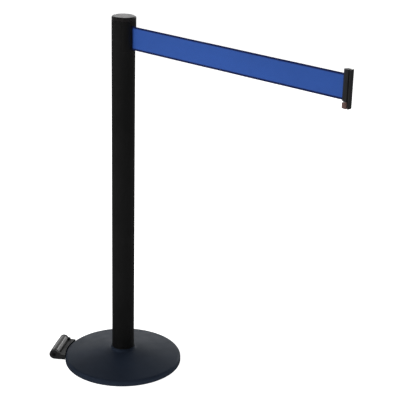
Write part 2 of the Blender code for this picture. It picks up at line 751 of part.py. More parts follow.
def make_belt_bezel():
    """The raised frame round the belt's slot, with a tongue that fills the tube's window."""
    steps = 20
    edge = BEZEL_EDGE_ANGLE
    outer = [head_point(-edge + 2 * edge * i / steps) for i in range(steps + 1)]
    seat = POST_RADIUS + GAP
    window = WINDOW_HALF_WIDTH - GAP
    corner = math.asin(window / seat)
    inside = POST_BORE
    inner_corner = math.asin(window / inside)
    outline = outer
    outline += arc((0.0, 0.0), seat, edge, corner, 6)
    outline += arc((0.0, 0.0), inside, inner_corner, -inner_corner, 6)
    outline += arc((0.0, 0.0), seat, -corner, -edge, 6)
    mesh = outline_mesh("belt_bezel", outline, BELT_BOTTOM - BEZEL_BELOW_BELT, TUBE_TOP)
    bezel = add_piece("belt_bezel", mesh, "black_plastic")
    slot = box_mesh(
        "belt_slot",
        (0.0, -SLOT_HALF_WIDTH, BELT_BOTTOM - SLOT_CLEARANCE),
        (2 * POST_RADIUS, SLOT_HALF_WIDTH, BELT_TOP + SLOT_CLEARANCE),
    )
    boolean(bezel, add_cutter("belt_slot", slot), "DIFFERENCE")


def make_cassette_body(receiver):
    """The moulded sleeve round the spool, open towards the bezel."""
    channel = GUIDE_CHANNEL_HALF_WIDTH
    mouth = math.asin(channel / CASSETTE_RADIUS)
    throat = math.asin(channel / CAVITY_RADIUS)
    outline = arc((0.0, 0.0), CASSETTE_RADIUS, mouth, math.tau - mouth, 48)
    outline += arc((0.0, 0.0), CAVITY_RADIUS, math.tau - throat, throat, 48)
    mesh = outline_mesh("cassette_body", outline, DIVIDER_TOP + GAP, TOP_PLATE_BOTTOM - GAP)
    boolean(add_piece("cassette_body", mesh, "black_plastic"), receiver, "DIFFERENCE")


def make_cassette_ends(receiver, screw_holes):
    """The cassette's top plate, the divider under the spool and the cup that holds the power spring."""
    bore = SPINDLE_RADIUS + GAP
    plate = ring(
        "cassette_top_plate",
        bore,
        CASSETTE_RADIUS,
        TOP_PLATE_BOTTOM,
        TOP_PLATE_TOP,
        "black_plastic",
        ROUND_STEPS,
    )
    boolean(plate, receiver, "DIFFERENCE")
    divider = ring(
        "spring_divider",
        ARBOR_RADIUS + 2 * GAP,
        CASSETTE_RADIUS,
        DIVIDER_BOTTOM,
        DIVIDER_TOP,
        "black_plastic",
        ROUND_STEPS,
    )
    boolean(divider, receiver, "DIFFERENCE")
    floor = CUP_BOTTOM + CUP_FLOOR
    profile = [
        (CAVITY_RADIUS, CUP_TOP),
        (CASSETTE_RADIUS, CUP_TOP),
        (CASSETTE_RADIUS, CUP_BOTTOM),
        (bore, CUP_BOTTOM),
        (bore, floor),
        (CAVITY_RADIUS, floor),
    ]
    cup = turned("spring_cup", profile, "black_plastic", ROUND_STEPS, closed=True)
    boolean(cup, receiver, "DIFFERENCE")
    for cutter in screw_holes:
        boolean(cup, cutter, "DIFFERENCE")


def make_cassette_screws():
    """Two countersunk screws through the tube's wall into the cup, and the holes that they need."""
    heads, holes = [], []
    height = CUP_BOTTOM + CASSETTE_SCREW_LIFT
    face = POST_RADIUS - GAP
    neck = face - POST_WALL
    tip = face - CASSETTE_SCREW_DEPTH
    for label, azimuth in zip(("side", "back"), CASSETTE_SCREW_AZIMUTHS):
        turn = (0.0, math.pi / 2, azimuth)
        profile = [
            (0.0, face),
            (CASSETTE_SCREW_HEAD_RADIUS, face),
            (CASSETTE_SCREW_RADIUS, neck),
            (CASSETTE_SCREW_RADIUS, tip),
            (0.0, tip),
        ]
        screw = turned(f"cassette_screw_{label}", profile, "zinc_steel", SCREW_STEPS)
        place(screw, (0.0, 0.0, height), turn)
        sink = cylinder_mesh(
            "sink",
            CASSETTE_SCREW_RADIUS + GAP,
            neck - GAP,
            POST_RADIUS + GAP,
            SCREW_STEPS,
            CASSETTE_SCREW_HEAD_RADIUS + 3 * GAP,
        )
        head = add_cutter(f"cassette_screw_sink_{label}", sink)
        heads.append(place(head, (0.0, 0.0, height), turn))
        bore = cylinder_mesh("bore", CASSETTE_SCREW_RADIUS + GAP, tip - GAP, POST_RADIUS, SCREW_STEPS)
        hole = add_cutter(f"cassette_screw_bore_{label}", bore)
        holes.append(place(hole, (0.0, 0.0, height), turn))
    return heads, holes


def make_spool(axis):
    """The spool with its two flanges, two bushes, the spring's arbor and the wound belt."""
    top, bottom = SPOOL_TOP - BELT_MIDDLE, SPOOL_BOTTOM - BELT_MIDDLE
    bore = SPOOL_BUSH_RADIUS + GAP
    profile = [
        (bore, top),
        (FLANGE_RADIUS, top),
        (FLANGE_RADIUS, top - FLANGE_THICKNESS),
        (CORE_RADIUS, top - FLANGE_THICKNESS),
        (CORE_RADIUS, bottom + FLANGE_THICKNESS),
        (FLANGE_RADIUS, bottom + FLANGE_THICKNESS),
        (FLANGE_RADIUS, bottom),
        (bore, bottom),
    ]
    place(turned("spool", profile, "white_acetal", ROUND_STEPS, closed=True), parent=axis)
    inner = SPINDLE_RADIUS + GAP
    for label, high in (("upper", top), ("lower", bottom + SPOOL_BUSH_LENGTH)):
        bush = ring(
            f"spool_bush_{label}",
            inner,
            SPOOL_BUSH_RADIUS,
            high - SPOOL_BUSH_LENGTH,
            high,
            "bronze",
            SMALL_STEPS,
        )
        place(bush, parent=axis)
    foot = CUP_BOTTOM + CUP_FLOOR + 2 * GAP - BELT_MIDDLE
    arbor = ring("spring_arbor", inner, ARBOR_RADIUS, foot, bottom - GAP, "zinc_steel", SMALL_STEPS)
    place(arbor, parent=axis)
    roll = ring(
        "belt_roll",
        CORE_RADIUS + GAP,
        ROLL_RADIUS,
        BELT_BOTTOM - BELT_MIDDLE,
        BELT_TOP - BELT_MIDDLE,
        "blue_webbing",
        ROUND_STEPS,
    )
    place(roll, parent=axis)


def make_spindle():
    """The fixed spindle that the spool turns on, its clip, and the friction ring that slows the spool."""
    low = CUP_BOTTOM - GAP
    tail = TOP_PLATE_TOP + GAP + CLIP_THICKNESS + GAP
    profile = [
        (0.0, tail),
        (SPINDLE_RADIUS, tail),
        (SPINDLE_RADIUS, low),
        (SPINDLE_HEAD_RADIUS, low),
        (SPINDLE_HEAD_RADIUS, low - SPINDLE_HEAD_THICKNESS),
        (0.0, low - SPINDLE_HEAD_THICKNESS),
    ]
    turned("spool_spindle", profile, "zinc_steel", SMALL_STEPS)
    clip = TOP_PLATE_TOP + GAP
    ring(
        "spindle_clip",
        SPINDLE_RADIUS + GAP,
        CLIP_RADIUS,
        clip,
        clip + CLIP_THICKNESS,
        "spring_steel",
        SMALL_STEPS,
    )
    low = SPOOL_TOP + GAP
    ring(
        "retraction_brake_ring",
        BRAKE_INNER_RADIUS,
        BRAKE_OUTER_RADIUS,
        low,
        low + BRAKE_THICKNESS,
        "grey_felt",
        ROUND_STEPS,
    )


def make_power_spring():
    """The flat spiral spring between the arbor and the cup's wall."""
    inner = ARBOR_RADIUS + 2 * GAP + SPRING_THICKNESS
    outer = CAVITY_RADIUS - 2 * GAP - SPRING_THICKNESS
    steps = 16 * SPRING_TURNS
    path = []
    for i in range(steps + 1):
        share = i / steps
        radius = inner + (outer - inner) * share
        angle = math.tau * SPRING_TURNS * share
        path.append((radius * math.cos(angle), radius * math.sin(angle)))
    middle = (CUP_BOTTOM + CUP_FLOOR + CUP_TOP) / 2
    low, high = middle - SPRING_WIDTH / 2, middle + SPRING_WIDTH / 2
    add_piece("power_spring", strip_mesh("power_spring", path, SPRING_THICKNESS, low, high), "spring_steel")


def make_guide_pins():
    """Two steel pins that lead the belt into the middle of its slot."""
    reach = BELT_THICKNESS / 2 + GAP + GUIDE_PIN_RADIUS
    for label, side in (("left", 1.0), ("right", -1.0)):
        low, high = DIVIDER_TOP + GAP, TOP_PLATE_BOTTOM - GAP
        mesh = cylinder_mesh(f"belt_guide_pin_{label}", GUIDE_PIN_RADIUS, low, high, SCREW_STEPS)
        pin = add_piece(f"belt_guide_pin_{label}", mesh, "zinc_steel")
        place(pin, (GUIDE_PIN_X, side * reach, 0.0))


def make_inner_run():
    """The belt between the roll and the bezel: off the roll at a tangent, then straight out."""
    bend = GUIDE_PIN_X - GUIDE_PIN_RADIUS
    reach = ROLL_RADIUS + GAP + BELT_THICKNESS
    angle = -math.acos(reach / bend)
    tangent = (reach * math.cos(angle), reach * math.sin(angle))
    path = [tangent, (bend - GAP, -GAP / 2), (GUIDE_PIN_X, 0.0), (POST_BORE - GAP, 0.0)]
    mesh = strip_mesh("belt_inner_run", path, BELT_THICKNESS, BELT_BOTTOM, BELT_TOP)
    add_piece("belt_inner_run", mesh, "blue_webbing")


# ---------------------------------------------------------------- belt and its end


def make_belt():
    """The free belt, from inside the bezel's slot to the grip of the end piece."""
    mesh = box_mesh(
        "belt",
        (POST_BORE, -BELT_THICKNESS / 2, BELT_BOTTOM),
        (END_X + BELT_GRIP - GAP, BELT_THICKNESS / 2, BELT_TOP),
    )
    add_piece("belt", mesh, "blue_webbing")


def end_side(side):
    """The end piece's outer skin on one side, from the belt to the neck."""
    return [
        (0.0, side * END_NOSE_HALF_THICKNESS),
        (END_RAMP_LENGTH, side * END_HALF_THICKNESS),
        (END_BODY_LENGTH - END_CORNER, side * END_HALF_THICKNESS),
        (END_BODY_LENGTH, side * (END_HALF_THICKNESS - END_CORNER)),
    ]


def make_end_screw_cutters(frame):
    """Clearance bores and head recesses for the two screws that close the end piece."""
    bores, recesses = [], []
    turn = Matrix.Rotation(-math.pi / 2, 4, "X")
    shelf = END_HALF_THICKNESS - END_SCREW_HEAD_DEPTH
    for label, side in (("upper", 1.0), ("lower", -1.0)):
        spot = (LEVER_PIN_X, 0.0, side * END_SCREW_SPACING / 2)
        bore = cylinder_mesh(
            "bore", END_SCREW_RADIUS + GAP, -END_SCREW_TIP - GAP, 2 * END_HALF_THICKNESS, SCREW_STEPS
        )
        bore.transform(turn)
        bores.append(place(add_cutter(f"end_screw_bore_{label}", bore), spot, parent=frame))
        recess = cylinder_mesh(
            "recess", END_SCREW_HEAD_RADIUS + GAP, shelf - GAP, 2 * END_HALF_THICKNESS, SCREW_STEPS
        )
        recess.transform(turn)
        recesses.append(place(add_cutter(f"end_screw_recess_{label}", recess), spot, parent=frame))
    return bores, recesses


def make_end_shells(frame, bores, recesses):
    """The two halves of the end piece, which grip the belt and the tongue between them."""
    low, high = SHELL_BOTTOM - BELT_MIDDLE, END_TOP - BELT_MIDDLE
    grip = BELT_THICKNESS / 2 + GAP
    pocket = TONGUE_HALF_THICKNESS + GAP
    root = TONGUE_ROOT - GAP
    for label, side in (("front", -1.0), ("rear", 1.0)):
        outline = end_side(side)
        outline += [
            (END_BODY_LENGTH, side * pocket),
            (root, side * pocket),
            (root, side * grip),
            (0.0, side * grip),
        ]
        shell = add_piece(
            f"end_shell_{label}", outline_mesh(f"end_shell_{label}", outline, low, high), "black_plastic"
        )
        place(shell, parent=frame)
        round_edges(shell, END_ROUNDING, 2)
        for bore in bores:
            boolean(shell, bore, "DIFFERENCE")
        if side > 0:
            for recess in recesses:
                boolean(shell, recess, "DIFFERENCE")


def make_end_screws(frame):
    """Two flush screws from the rear shell through the tongue into the front shell."""
    shelf = END_HALF_THICKNESS - END_SCREW_HEAD_DEPTH
    face = END_HALF_THICKNESS - GAP
    for label, side in (("upper", 1.0), ("lower", -1.0)):
        profile = [
            (0.0, face),
            (END_SCREW_HEAD_RADIUS, face),
            (END_SCREW_HEAD_RADIUS, shelf),
            (END_SCREW_RADIUS, shelf),
            (END_SCREW_RADIUS, -END_SCREW_TIP),
            (0.0, -END_SCREW_TIP),
        ]
        screw = turned(f"end_screw_{label}", profile, "zinc_steel", SCREW_STEPS)
        spot = (LEVER_PIN_X, 0.0, side * END_SCREW_SPACING / 2)
        place(screw, spot, (-math.pi / 2, 0.0, 0.0), frame)


def make_lever_pin_cutter(frame):
    """The cross hole for the lever's pin."""
    reach = 2 * END_HALF_THICKNESS
    mesh = cylinder_mesh("lever_pin_hole", LEVER_PIN_RADIUS + GAP, -reach, reach, SCREW_STEPS)
    mesh.transform(Matrix.Rotation(math.pi / 2, 4, "X"))
    hole = add_cutter("lever_pin_hole", mesh)
    return place(hole, (LEVER_PIN_X, 0.0, LEVER_PIN_Z - BELT_MIDDLE), parent=frame)


def make_end_tongue(frame, bores, pin_hole):
    """The T-shaped tongue that drops into a receiver, over the end piece's whole height."""
    step = END_BODY_LENGTH + NECK_LENGTH
    tip = step + TONGUE_FLANGE_THICKNESS
    thin, wide = TONGUE_HALF_THICKNESS, TONGUE_FLANGE_HALF_WIDTH
    outline = [
        (TONGUE_ROOT, -thin),
        (step, -thin),
        (step, -wide),
        (tip, -wide),
        (tip, wide),
        (step, wide),
        (step, thin),
        (TONGUE_ROOT, thin),
    ]
    mesh = outline_mesh("end_tongue", outline, END_BOTTOM - BELT_MIDDLE, END_TOP - BELT_MIDDLE)
    tongue = place(add_piece("end_tongue", mesh, "black_plastic"), parent=frame)
    for bore in bores:
        boolean(tongue, bore, "DIFFERENCE")
    boolean(tongue, pin_hole, "DIFFERENCE")


def make_release_lever(axis, pin_hole):
    """The thumb lever at the foot of the end piece, whose two noses catch in a post's latch notch."""
    shift = Vector((-LEVER_PIN_X, 0.0, BELT_MIDDLE - LEVER_PIN_Z))
    low, high = END_BOTTOM - BELT_MIDDLE, LEVER_TOP - BELT_MIDDLE
    outline = end_side(-1.0) + end_side(1.0)[::-1]
    mesh = outline_mesh("release_lever", outline, low, high)
    mesh.transform(Matrix.Translation(shift))
    lever = place(add_piece("release_lever", mesh, "dark_brown_plastic"), parent=axis)
    round_edges(lever, END_ROUNDING, 2)
    nose = box_mesh(
        "lever_nose",
        (END_BODY_LENGTH - 2 * LEVER_NOSE_REACH, -LEVER_NOSE_HALF_WIDTH, low + LEVER_NOSE_HEIGHT / 2),
        (END_BODY_LENGTH + LEVER_NOSE_REACH, LEVER_NOSE_HALF_WIDTH, low + 3 * LEVER_NOSE_HEIGHT / 2),
    )
    nose.transform(Matrix.Translation(shift))
    boolean(lever, place(add_cutter("lever_nose", nose), parent=axis), "UNION")
    slot = box_mesh(
        "lever_slot",
        (TONGUE_ROOT - 5 * GAP, -LEVER_SLOT_HALF_WIDTH, low - GAP),
        (2 * END_BODY_LENGTH, LEVER_SLOT_HALF_WIDTH, high + GAP),
    )
    slot.transform(Matrix.Translation(shift))
    boolean(lever, place(add_cutter("lever_slot", slot), parent=axis), "DIFFERENCE")
    wedge = box_mesh(
        "lever_ramp",
        (-2 * END_BODY_LENGTH, -2 * END_HALF_THICKNESS, 0.0),
        (0.0, 2 * END_HALF_THICKNESS, END_BODY_LENGTH),
    )
    wedge.transform(Matrix.Rotation(-LEVER_RAMP, 4, "Y"))
    cutter = add_cutter("lever_ramp", wedge)
    place(cutter, (0.0, 0.0, LEVER_TOP - LEVER_PIN_Z), parent=axis)
    boolean(lever, cutter, "DIFFERENCE")
    boolean(lever, pin_hole, "DIFFERENCE")


def make_lever_hardware(axis):
    """The lever's pin, and the torsion spring wound round it beside the tongue."""
    reach = END_HALF_THICKNESS - END_CORNER / 2
    pin = cylinder_mesh("lever_pin", LEVER_PIN_RADIUS, -reach, reach, SCREW_STEPS)
    pin.transform(Matrix.Rotation(math.pi / 2, 4, "X"))
    place(add_piece("lever_pin", pin, "zinc_steel"), parent=axis)
    wire = LEVER_SPRING_WIRE
    coil = LEVER_PIN_RADIUS + GAP + wire
    start = TONGUE_HALF_THICKNESS + GAP + wire
    end = LEVER_SLOT_HALF_WIDTH - GAP - wire
    steps = 12
    count = int(LEVER_SPRING_TURNS * steps)
    points = []
    for i in range(count + 1):
        angle = math.tau * i / steps
        points.append((coil * math.cos(angle), start + (end - start) * i / count, coil * math.sin(angle)))
    place(add_piece("lever_spring", wire_mesh("lever_spring", points, wire, 1), "spring_steel"), parent=axis)


def build():
    """Makes every piece of the stanchion."""
    roller_frame = make_empty("roller_frame", (0.0, 0.0, 0.0), ROLLER_AZIMUTH)
    reach = BASE_RADIUS + ROLLER_STANDOFF
    spot = (reach * math.cos(ROLLER_AZIMUTH), reach * math.sin(ROLLER_AZIMUTH), ROLLER_HEIGHT)
    roller_axis = make_empty("roller_axis", spot, ROLLER_AZIMUTH)
    spool_axis = make_empty("spool_axis", (0.0, 0.0, BELT_MIDDLE))
    end_frame = make_empty("belt_end_frame", (END_X, 0.0, BELT_MIDDLE))
    lever_axis = make_empty("lever_axis", (END_X + LEVER_PIN_X, 0.0, LEVER_PIN_Z))

    make_floor_pad()
    bracket_holes, bracket_pockets = make_bracket_screw_cutters(roller_frame)
    make_base_weight(bracket_holes)
    make_base_cover(bracket_holes)
    make_tie_bolt()
    make_foot_plug()
    make_roller_bracket(roller_frame, bracket_holes + bracket_pockets)
    make_bracket_screws(roller_frame)
    make_roller(roller_axis)

    receiver = make_receiver_cutter()
    screw_heads, screw_holes = make_cassette_screws()
    make_post_tube(screw_heads)
    make_top_cap(receiver)
    make_belt_bezel()
    make_cassette_body(receiver)
    make_cassette_ends(receiver, screw_holes)
    make_spool(spool_axis)
    make_spindle()
    make_power_spring()
    make_guide_pins()
    make_inner_run()

    make_belt()
    bores, recesses = make_end_screw_cutters(end_frame)
    pin_hole = make_lever_pin_cutter(end_frame)
    make_end_shells(end_frame, bores, recesses)
    make_end_screws(end_frame)
    make_end_tongue(end_frame, bores, pin_hole)
    make_release_lever(lever_axis, pin_hole)
    make_lever_hardware(lever_axis)


clear_scene()
PARTS = make_collection("belt_stanchion")
CUTTERS = make_collection("cutters")
build()
bpy.context.view_layer.update()
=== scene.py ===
"""A retractable belt stanchion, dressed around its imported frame.

The post and base stand still, the belt's end slides out along +X, and the belt between them gets longer
and shorter. Every size is in metres and comes from the frame or from the fields of the classes below.
"""

import json
import logging
import math
from dataclasses import dataclass
from enum import Enum

import bmesh
import bpy
import numpy as np
from mathutils import Matrix, Vector

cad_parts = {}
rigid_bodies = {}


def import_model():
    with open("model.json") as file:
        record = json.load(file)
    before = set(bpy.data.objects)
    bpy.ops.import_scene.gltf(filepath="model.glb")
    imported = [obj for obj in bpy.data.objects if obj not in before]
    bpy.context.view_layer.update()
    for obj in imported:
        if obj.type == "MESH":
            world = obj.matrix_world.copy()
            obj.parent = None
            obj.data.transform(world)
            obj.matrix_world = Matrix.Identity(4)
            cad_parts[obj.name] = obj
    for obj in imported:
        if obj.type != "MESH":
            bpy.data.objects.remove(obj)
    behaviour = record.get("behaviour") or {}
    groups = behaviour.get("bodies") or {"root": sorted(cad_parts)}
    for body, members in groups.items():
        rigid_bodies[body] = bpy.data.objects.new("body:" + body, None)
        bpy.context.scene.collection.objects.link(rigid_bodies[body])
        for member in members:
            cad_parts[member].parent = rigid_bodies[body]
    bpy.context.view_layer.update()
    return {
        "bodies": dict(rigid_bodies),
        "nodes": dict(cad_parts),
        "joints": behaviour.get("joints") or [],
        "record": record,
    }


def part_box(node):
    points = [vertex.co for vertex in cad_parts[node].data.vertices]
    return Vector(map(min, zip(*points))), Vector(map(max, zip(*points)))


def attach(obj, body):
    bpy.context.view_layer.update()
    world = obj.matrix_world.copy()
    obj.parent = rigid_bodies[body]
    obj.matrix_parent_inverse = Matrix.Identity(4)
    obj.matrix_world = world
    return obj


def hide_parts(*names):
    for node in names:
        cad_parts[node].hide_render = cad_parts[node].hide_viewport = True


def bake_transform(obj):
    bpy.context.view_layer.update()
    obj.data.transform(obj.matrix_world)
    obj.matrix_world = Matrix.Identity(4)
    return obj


LOG = logging.getLogger("stanchion")
ROOT = "post_and_base"

Array = np.ndarray
Point = tuple[float, float, float]
Color = tuple[float, float, float]
Span = tuple[float, float]

WHITE = (1.0, 1.0, 1.0, 1.0)
UP: Point = (0.0, 0.0, 1.0)
SHARP_ANGLE = 38.0
FLAT_ANGLE = math.radians(0.3)
EASED_ANGLE = math.radians(45.0)
MERGE = 1e-7
NODE_MERGE = 1e-6
ROUND_STEPS = 7


# ---------------------------------------------------------------- shapes


def smoothstep(value: Array, low: float, high: float) -> Array:
    """Goes from 0 at low to 1 at high as 3t^2 - 2t^3.

    Args:
        value: The numbers to map.
        low: Where the step starts.
        high: Where the step ends.

    Returns:
        An array of the same shape, from 0 to 1.
    """
    t = np.clip((value - low) / (high - low), 0.0, 1.0)
    return t * t * (3.0 - 2.0 * t)


def arc(center: Span, radius: float, start: float, end: float, count: int) -> Array:
    """Points on an arc: center + radius * (cos a, sin a) for evenly spaced angles a.

    Args:
        center: The arc's centre in its plane.
        radius: The arc's radius.
        start: First angle in radians.
        end: Last angle in radians.
        count: How many points, both ends included.

    Returns:
        A (count, 2) array.
    """
    angle = np.linspace(start, end, count)
    return np.stack([center[0] + radius * np.cos(angle), center[1] + radius * np.sin(angle)], axis=1)


def grid_faces(rows: int, columns: int, wrap_rows: bool, wrap_columns: bool) -> Array:
    """Quads between neighbouring points of a grid, as indices row * columns + column.

    Args:
        rows: Number of rows.
        columns: Number of columns.
        wrap_rows: Whether the last row joins the first.
        wrap_columns: Whether the last column joins the first.

    Returns:
        An (n, 4) array of vertex indices.
    """
    r = np.arange(rows if wrap_rows else rows - 1)[:, None]
    c = np.arange(columns if wrap_columns else columns - 1)[None, :]
    r2, c2 = (r + 1) % rows, (c + 1) % columns
    corners = [r * columns + c, r * columns + c2, r2 * columns + c2, r2 * columns + c]
    return np.stack(corners, axis=-1).reshape(-1, 4)


class Surface:
    """A mesh made of grids of points."""

    def __init__(self, name: str) -> None:
        """Starts an empty surface called name."""
        self.name = name
        self.points: list[Array] = []
        self.faces: list[Array] = []
        self.count = 0

    def add(
        self, grid: Array, wrap_rows: bool = False, wrap_columns: bool = False, keep: Array | None = None
    ) -> "Surface":
        """Adds one grid of points.

        Args:
            grid: A (rows, columns, 3) array.
            wrap_rows: Whether the last row joins the first.
            wrap_columns: Whether the last column joins the first.
            keep: Which quads to keep, in row order. All of them where it is left out.

        Returns:
            The surface itself.
        """
        faces = grid_faces(grid.shape[0], grid.shape[1], wrap_rows, wrap_columns)
        if keep is not None:
            faces = faces[keep.reshape(-1)]
        self.points.append(grid.reshape(-1, 3))
        self.faces.append(faces + self.count)
        self.count += grid.shape[0] * grid.shape[1]
        return self

    def prism(self, grid: Array) -> "Surface":
        """Adds a bar from a grid of four-point rings, with both ends shut."""
        self.add(grid, wrap_columns=True)
        for ring in (grid[0], grid[-1]):
            self.add(np.stack([ring[[0, 1]], ring[[3, 2]]]))
        return self

    def turned(
        self, profile: Array, columns: int, closed: bool = True, place: Array | None = None
    ) -> "Surface":
        """Adds a profile turned about Z: (r cos a, r sin a, z) for each point (r, z) and angle a.

        Args:
            profile: An (n, 2) array of radius and height.
            columns: Number of angles.
            closed: Whether the profile's last point joins its first.
            place: A 4 by 4 matrix for the finished grid, or nothing.

        Returns:
            The surface itself.
        """
        angle = np.linspace(0.0, math.tau, columns, endpoint=False)[None, :]
        r, z = profile[:, 0][:, None], profile[:, 1][:, None]
        grid = np.stack([r * np.cos(angle), r * np.sin(angle), z + 0.0 * angle], axis=-1)
        if place is not None:
            grid = grid @ place[:3, :3].T + place[:3, 3]
        return self.add(grid, wrap_rows=closed, wrap_columns=True)

    def build(self, smooth_angle: float = 40.0) -> bpy.types.Object:
        """Makes the object, with doubles merged, loose points gone and faces turned outwards.

        Args:
            smooth_angle: Edges sharper than this, in degrees, stay sharp.

        Returns:
            The finished object at the origin.
        """
        mesh = bpy.data.meshes.new(self.name)
        mesh.from_pydata(np.concatenate(self.points), [], np.concatenate(self.faces).tolist())
        finish_mesh(mesh, smooth_angle)
        obj = bpy.data.objects.new(self.name, mesh)
        bpy.context.scene.collection.objects.link(obj)
        return obj


def finish_mesh(mesh: bpy.types.Mesh, smooth_angle: float) -> None:
    """Merges doubles, drops loose points, turns faces outwards and shades the mesh smooth.

    Args:
        mesh: The mesh to finish.
        smooth_angle: Edges sharper than this, in degrees, stay sharp.
    """
    build = bmesh.new()
    build.from_mesh(mesh)
    bmesh.ops.remove_doubles(build, verts=build.verts, dist=MERGE)
    loose = [v for v in build.verts if not v.link_faces]
    bmesh.ops.delete(build, geom=loose, context="VERTS")
    bmesh.ops.recalc_face_normals(build, faces=build.faces)
    build.to_mesh(mesh)
    build.free()
    mesh.shade_smooth()
    mesh.set_sharp_from_angle(angle=math.radians(smooth_angle))


def placed(azimuth: float, tilt: float, axis: str, at: Point) -> Array:
    """A 4 by 4 matrix that tilts about the named axis, then turns about Z, then moves."""
    turn = Matrix.Rotation(azimuth, 4, "Z") @ Matrix.Rotation(tilt, 4, axis)
    return np.array(Matrix.Translation(at) @ turn)


def eased_copy(frame: dict, node: str, ease: float) -> bpy.types.Object:
    """A smooth-shaded copy of a frame node, with its hard edges eased.

    Triangles in one plane become one face, edges sharper than a right angle's half get a round of two
    steps, and each corner's normal leans to its largest face, so that flats stay flat.

    Args:
        frame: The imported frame.
        node: The node to copy.
        ease: How far the rounding reaches from an edge, or 0 for none.

    Returns:
        The new piece, at the origin.
    """
    source = frame["nodes"][node].data
    points = np.empty(len(source.vertices) * 3, np.float32)
    source.vertices.foreach_get("co", points)
    corners = np.empty(len(source.loops), np.int32)
    source.loops.foreach_get("vertex_index", corners)
    mesh = bpy.data.meshes.new(f"{node}_finished")
    mesh.from_pydata(points.reshape(-1, 3), [], corners.reshape(-1, 3).tolist())
    build = bmesh.new()
    build.from_mesh(mesh)
    bmesh.ops.remove_doubles(build, verts=build.verts, dist=NODE_MERGE)
    bmesh.ops.dissolve_limit(build, angle_limit=FLAT_ANGLE, verts=build.verts, edges=build.edges)
    build.to_mesh(mesh)
    build.free()
    mesh.shade_smooth()
    mesh.set_sharp_from_angle(angle=math.radians(SHARP_ANGLE))
    obj = bpy.data.objects.new(mesh.name, mesh)
    bpy.context.scene.collection.objects.link(obj)
    if ease > 0.0:
        bevel = obj.modifiers.new("eased_edges", "BEVEL")
        bevel.width = ease
        bevel.segments = 2
        bevel.limit_method = "ANGLE"
        bevel.angle_limit = EASED_ANGLE
    obj.modifiers.new("flat_faces", "WEIGHTED_NORMAL").keep_sharp = True
    return obj


def carve(obj: bpy.types.Object, cutters: list[bpy.types.Object]) -> None:
    """Settles an object's modifiers, cuts shapes out of it, and keeps its flat faces flat.

    Args:
        obj: The object.
        cutters: The closed shapes to cut out, which are then removed.
    """
    for cutter in cutters:
        obj.modifiers.new(cutter.name, "BOOLEAN").object = cutter
    bpy.context.view_layer.update()
    graph = bpy.context.evaluated_depsgraph_get()
    mesh = bpy.data.meshes.new_from_object(obj.evaluated_get(graph))
    obj.modifiers.clear()
    obj.data = mesh
    for cutter in cutters:
        bpy.data.objects.remove(cutter)
    finish_mesh(mesh, SHARP_ANGLE)
    obj.modifiers.new("flat_faces", "WEIGHTED_NORMAL").keep_sharp = True


# ---------------------------------------------------------------- finishes


class Tree:
    """A short way to wire up one node tree."""

    def __init__(self, tree: bpy.types.NodeTree) -> None:
        """Takes a tree and gives it texture coordinates."""
        self.tree = tree
        self.coordinates = tree.nodes.new("ShaderNodeTexCoord")

    def node(self, kind: str, inputs: dict | None = None, **settings: object) -> bpy.types.Node:
        """Adds a node.

        Args:
            kind: The node's type, without "ShaderNode".
            inputs: Socket name or number to a value or to another node's output.
            settings: Properties of the node itself.

        Returns:
            The new node.
        """
        made = self.tree.nodes.new(f"ShaderNode{kind}")
        for key, value in settings.items():
            setattr(made, key, value)
        for key, value in (inputs or {}).items():
            self.link(value, made.inputs[key])
        return made

    def link(self, value: object, socket: bpy.types.NodeSocket) -> None:
        """Gives a socket a constant, or joins an output to it."""
        if isinstance(value, bpy.types.NodeSocket):
            self.tree.links.new(value, socket)
        else:
            socket.default_value = value

    def math(self, operation: str, *values: object) -> bpy.types.NodeSocket:
        """One Math node."""
        return self.node("Math", dict(enumerate(values)), operation=operation).outputs[0]

    def ramp(
        self, value: object, low: float, high: float, to_low: float, to_high: float, kind: str = "LINEAR"
    ) -> bpy.types.NodeSocket:
        """Maps low..high to to_low..to_high, and holds both ends."""
        inputs = {"Value": value, "From Min": low, "From Max": high, "To Min": to_low, "To Max": to_high}
        return self.node("MapRange", inputs, interpolation_type=kind).outputs["Result"]


class Nodes(Tree):
    """One node material, with a Principled shader."""

    def __init__(self, name: str) -> None:
        """Starts a material called name."""
        self.material = bpy.data.materials.new(name)
        self.material.use_nodes = True
        super().__init__(self.material.node_tree)
        self.shader = self.tree.nodes["Principled BSDF"]

    def noise(self, scale: float, detail: float = 3.0, stretch: Point = (1, 1, 1)) -> bpy.types.NodeSocket:
        """A noise over stretched object coordinates, from 0 to 1."""
        place = self.node("Mapping", {"Vector": self.coordinates.outputs["Object"], "Scale": stretch})
        inputs = {"Vector": place.outputs["Vector"], "Scale": scale, "Detail": detail}
        return self.node("TexNoise", inputs).outputs["Fac"]

    def mix(self, factor: object, first: object, second: object) -> bpy.types.NodeSocket:
        """Mixes two colours."""
        return self.node("Mix", {"Factor": factor, 6: first, 7: second}, data_type="RGBA").outputs[2]

    def mottle(
        self, color: Color, noise: bpy.types.NodeSocket, span: Span, gains: Span
    ) -> bpy.types.NodeSocket:
        """A colour times the first gain below a noise's span, and times the second above it."""
        return self.mix(self.ramp(noise, *span, 0.0, 1.0), rgba(color, gains[0]), rgba(color, gains[1]))

    def bump(
        self, height: object, distance: float, strength: float = 1.0, below: object = None
    ) -> bpy.types.NodeSocket:
        """A bump of the given height, over an earlier bump where one is given."""
        inputs = {"Height": height, "Distance": distance, "Strength": strength}
        if below is not None:
            inputs["Normal"] = below
        return self.node("Bump", inputs).outputs["Normal"]

    def set(self, **values: object) -> None:
        """Sets the shader's sockets; an underscore stands for a space."""
        for key, value in values.items():
            self.link(value, self.shader.inputs[key.replace("_", " ")])


def rgba(color: Color, gain: float = 1.0) -> tuple[float, float, float, float]:
    """A colour with its alpha, brightened by gain."""
    return (color[0] * gain, color[1] * gain, color[2] * gain, 1.0)


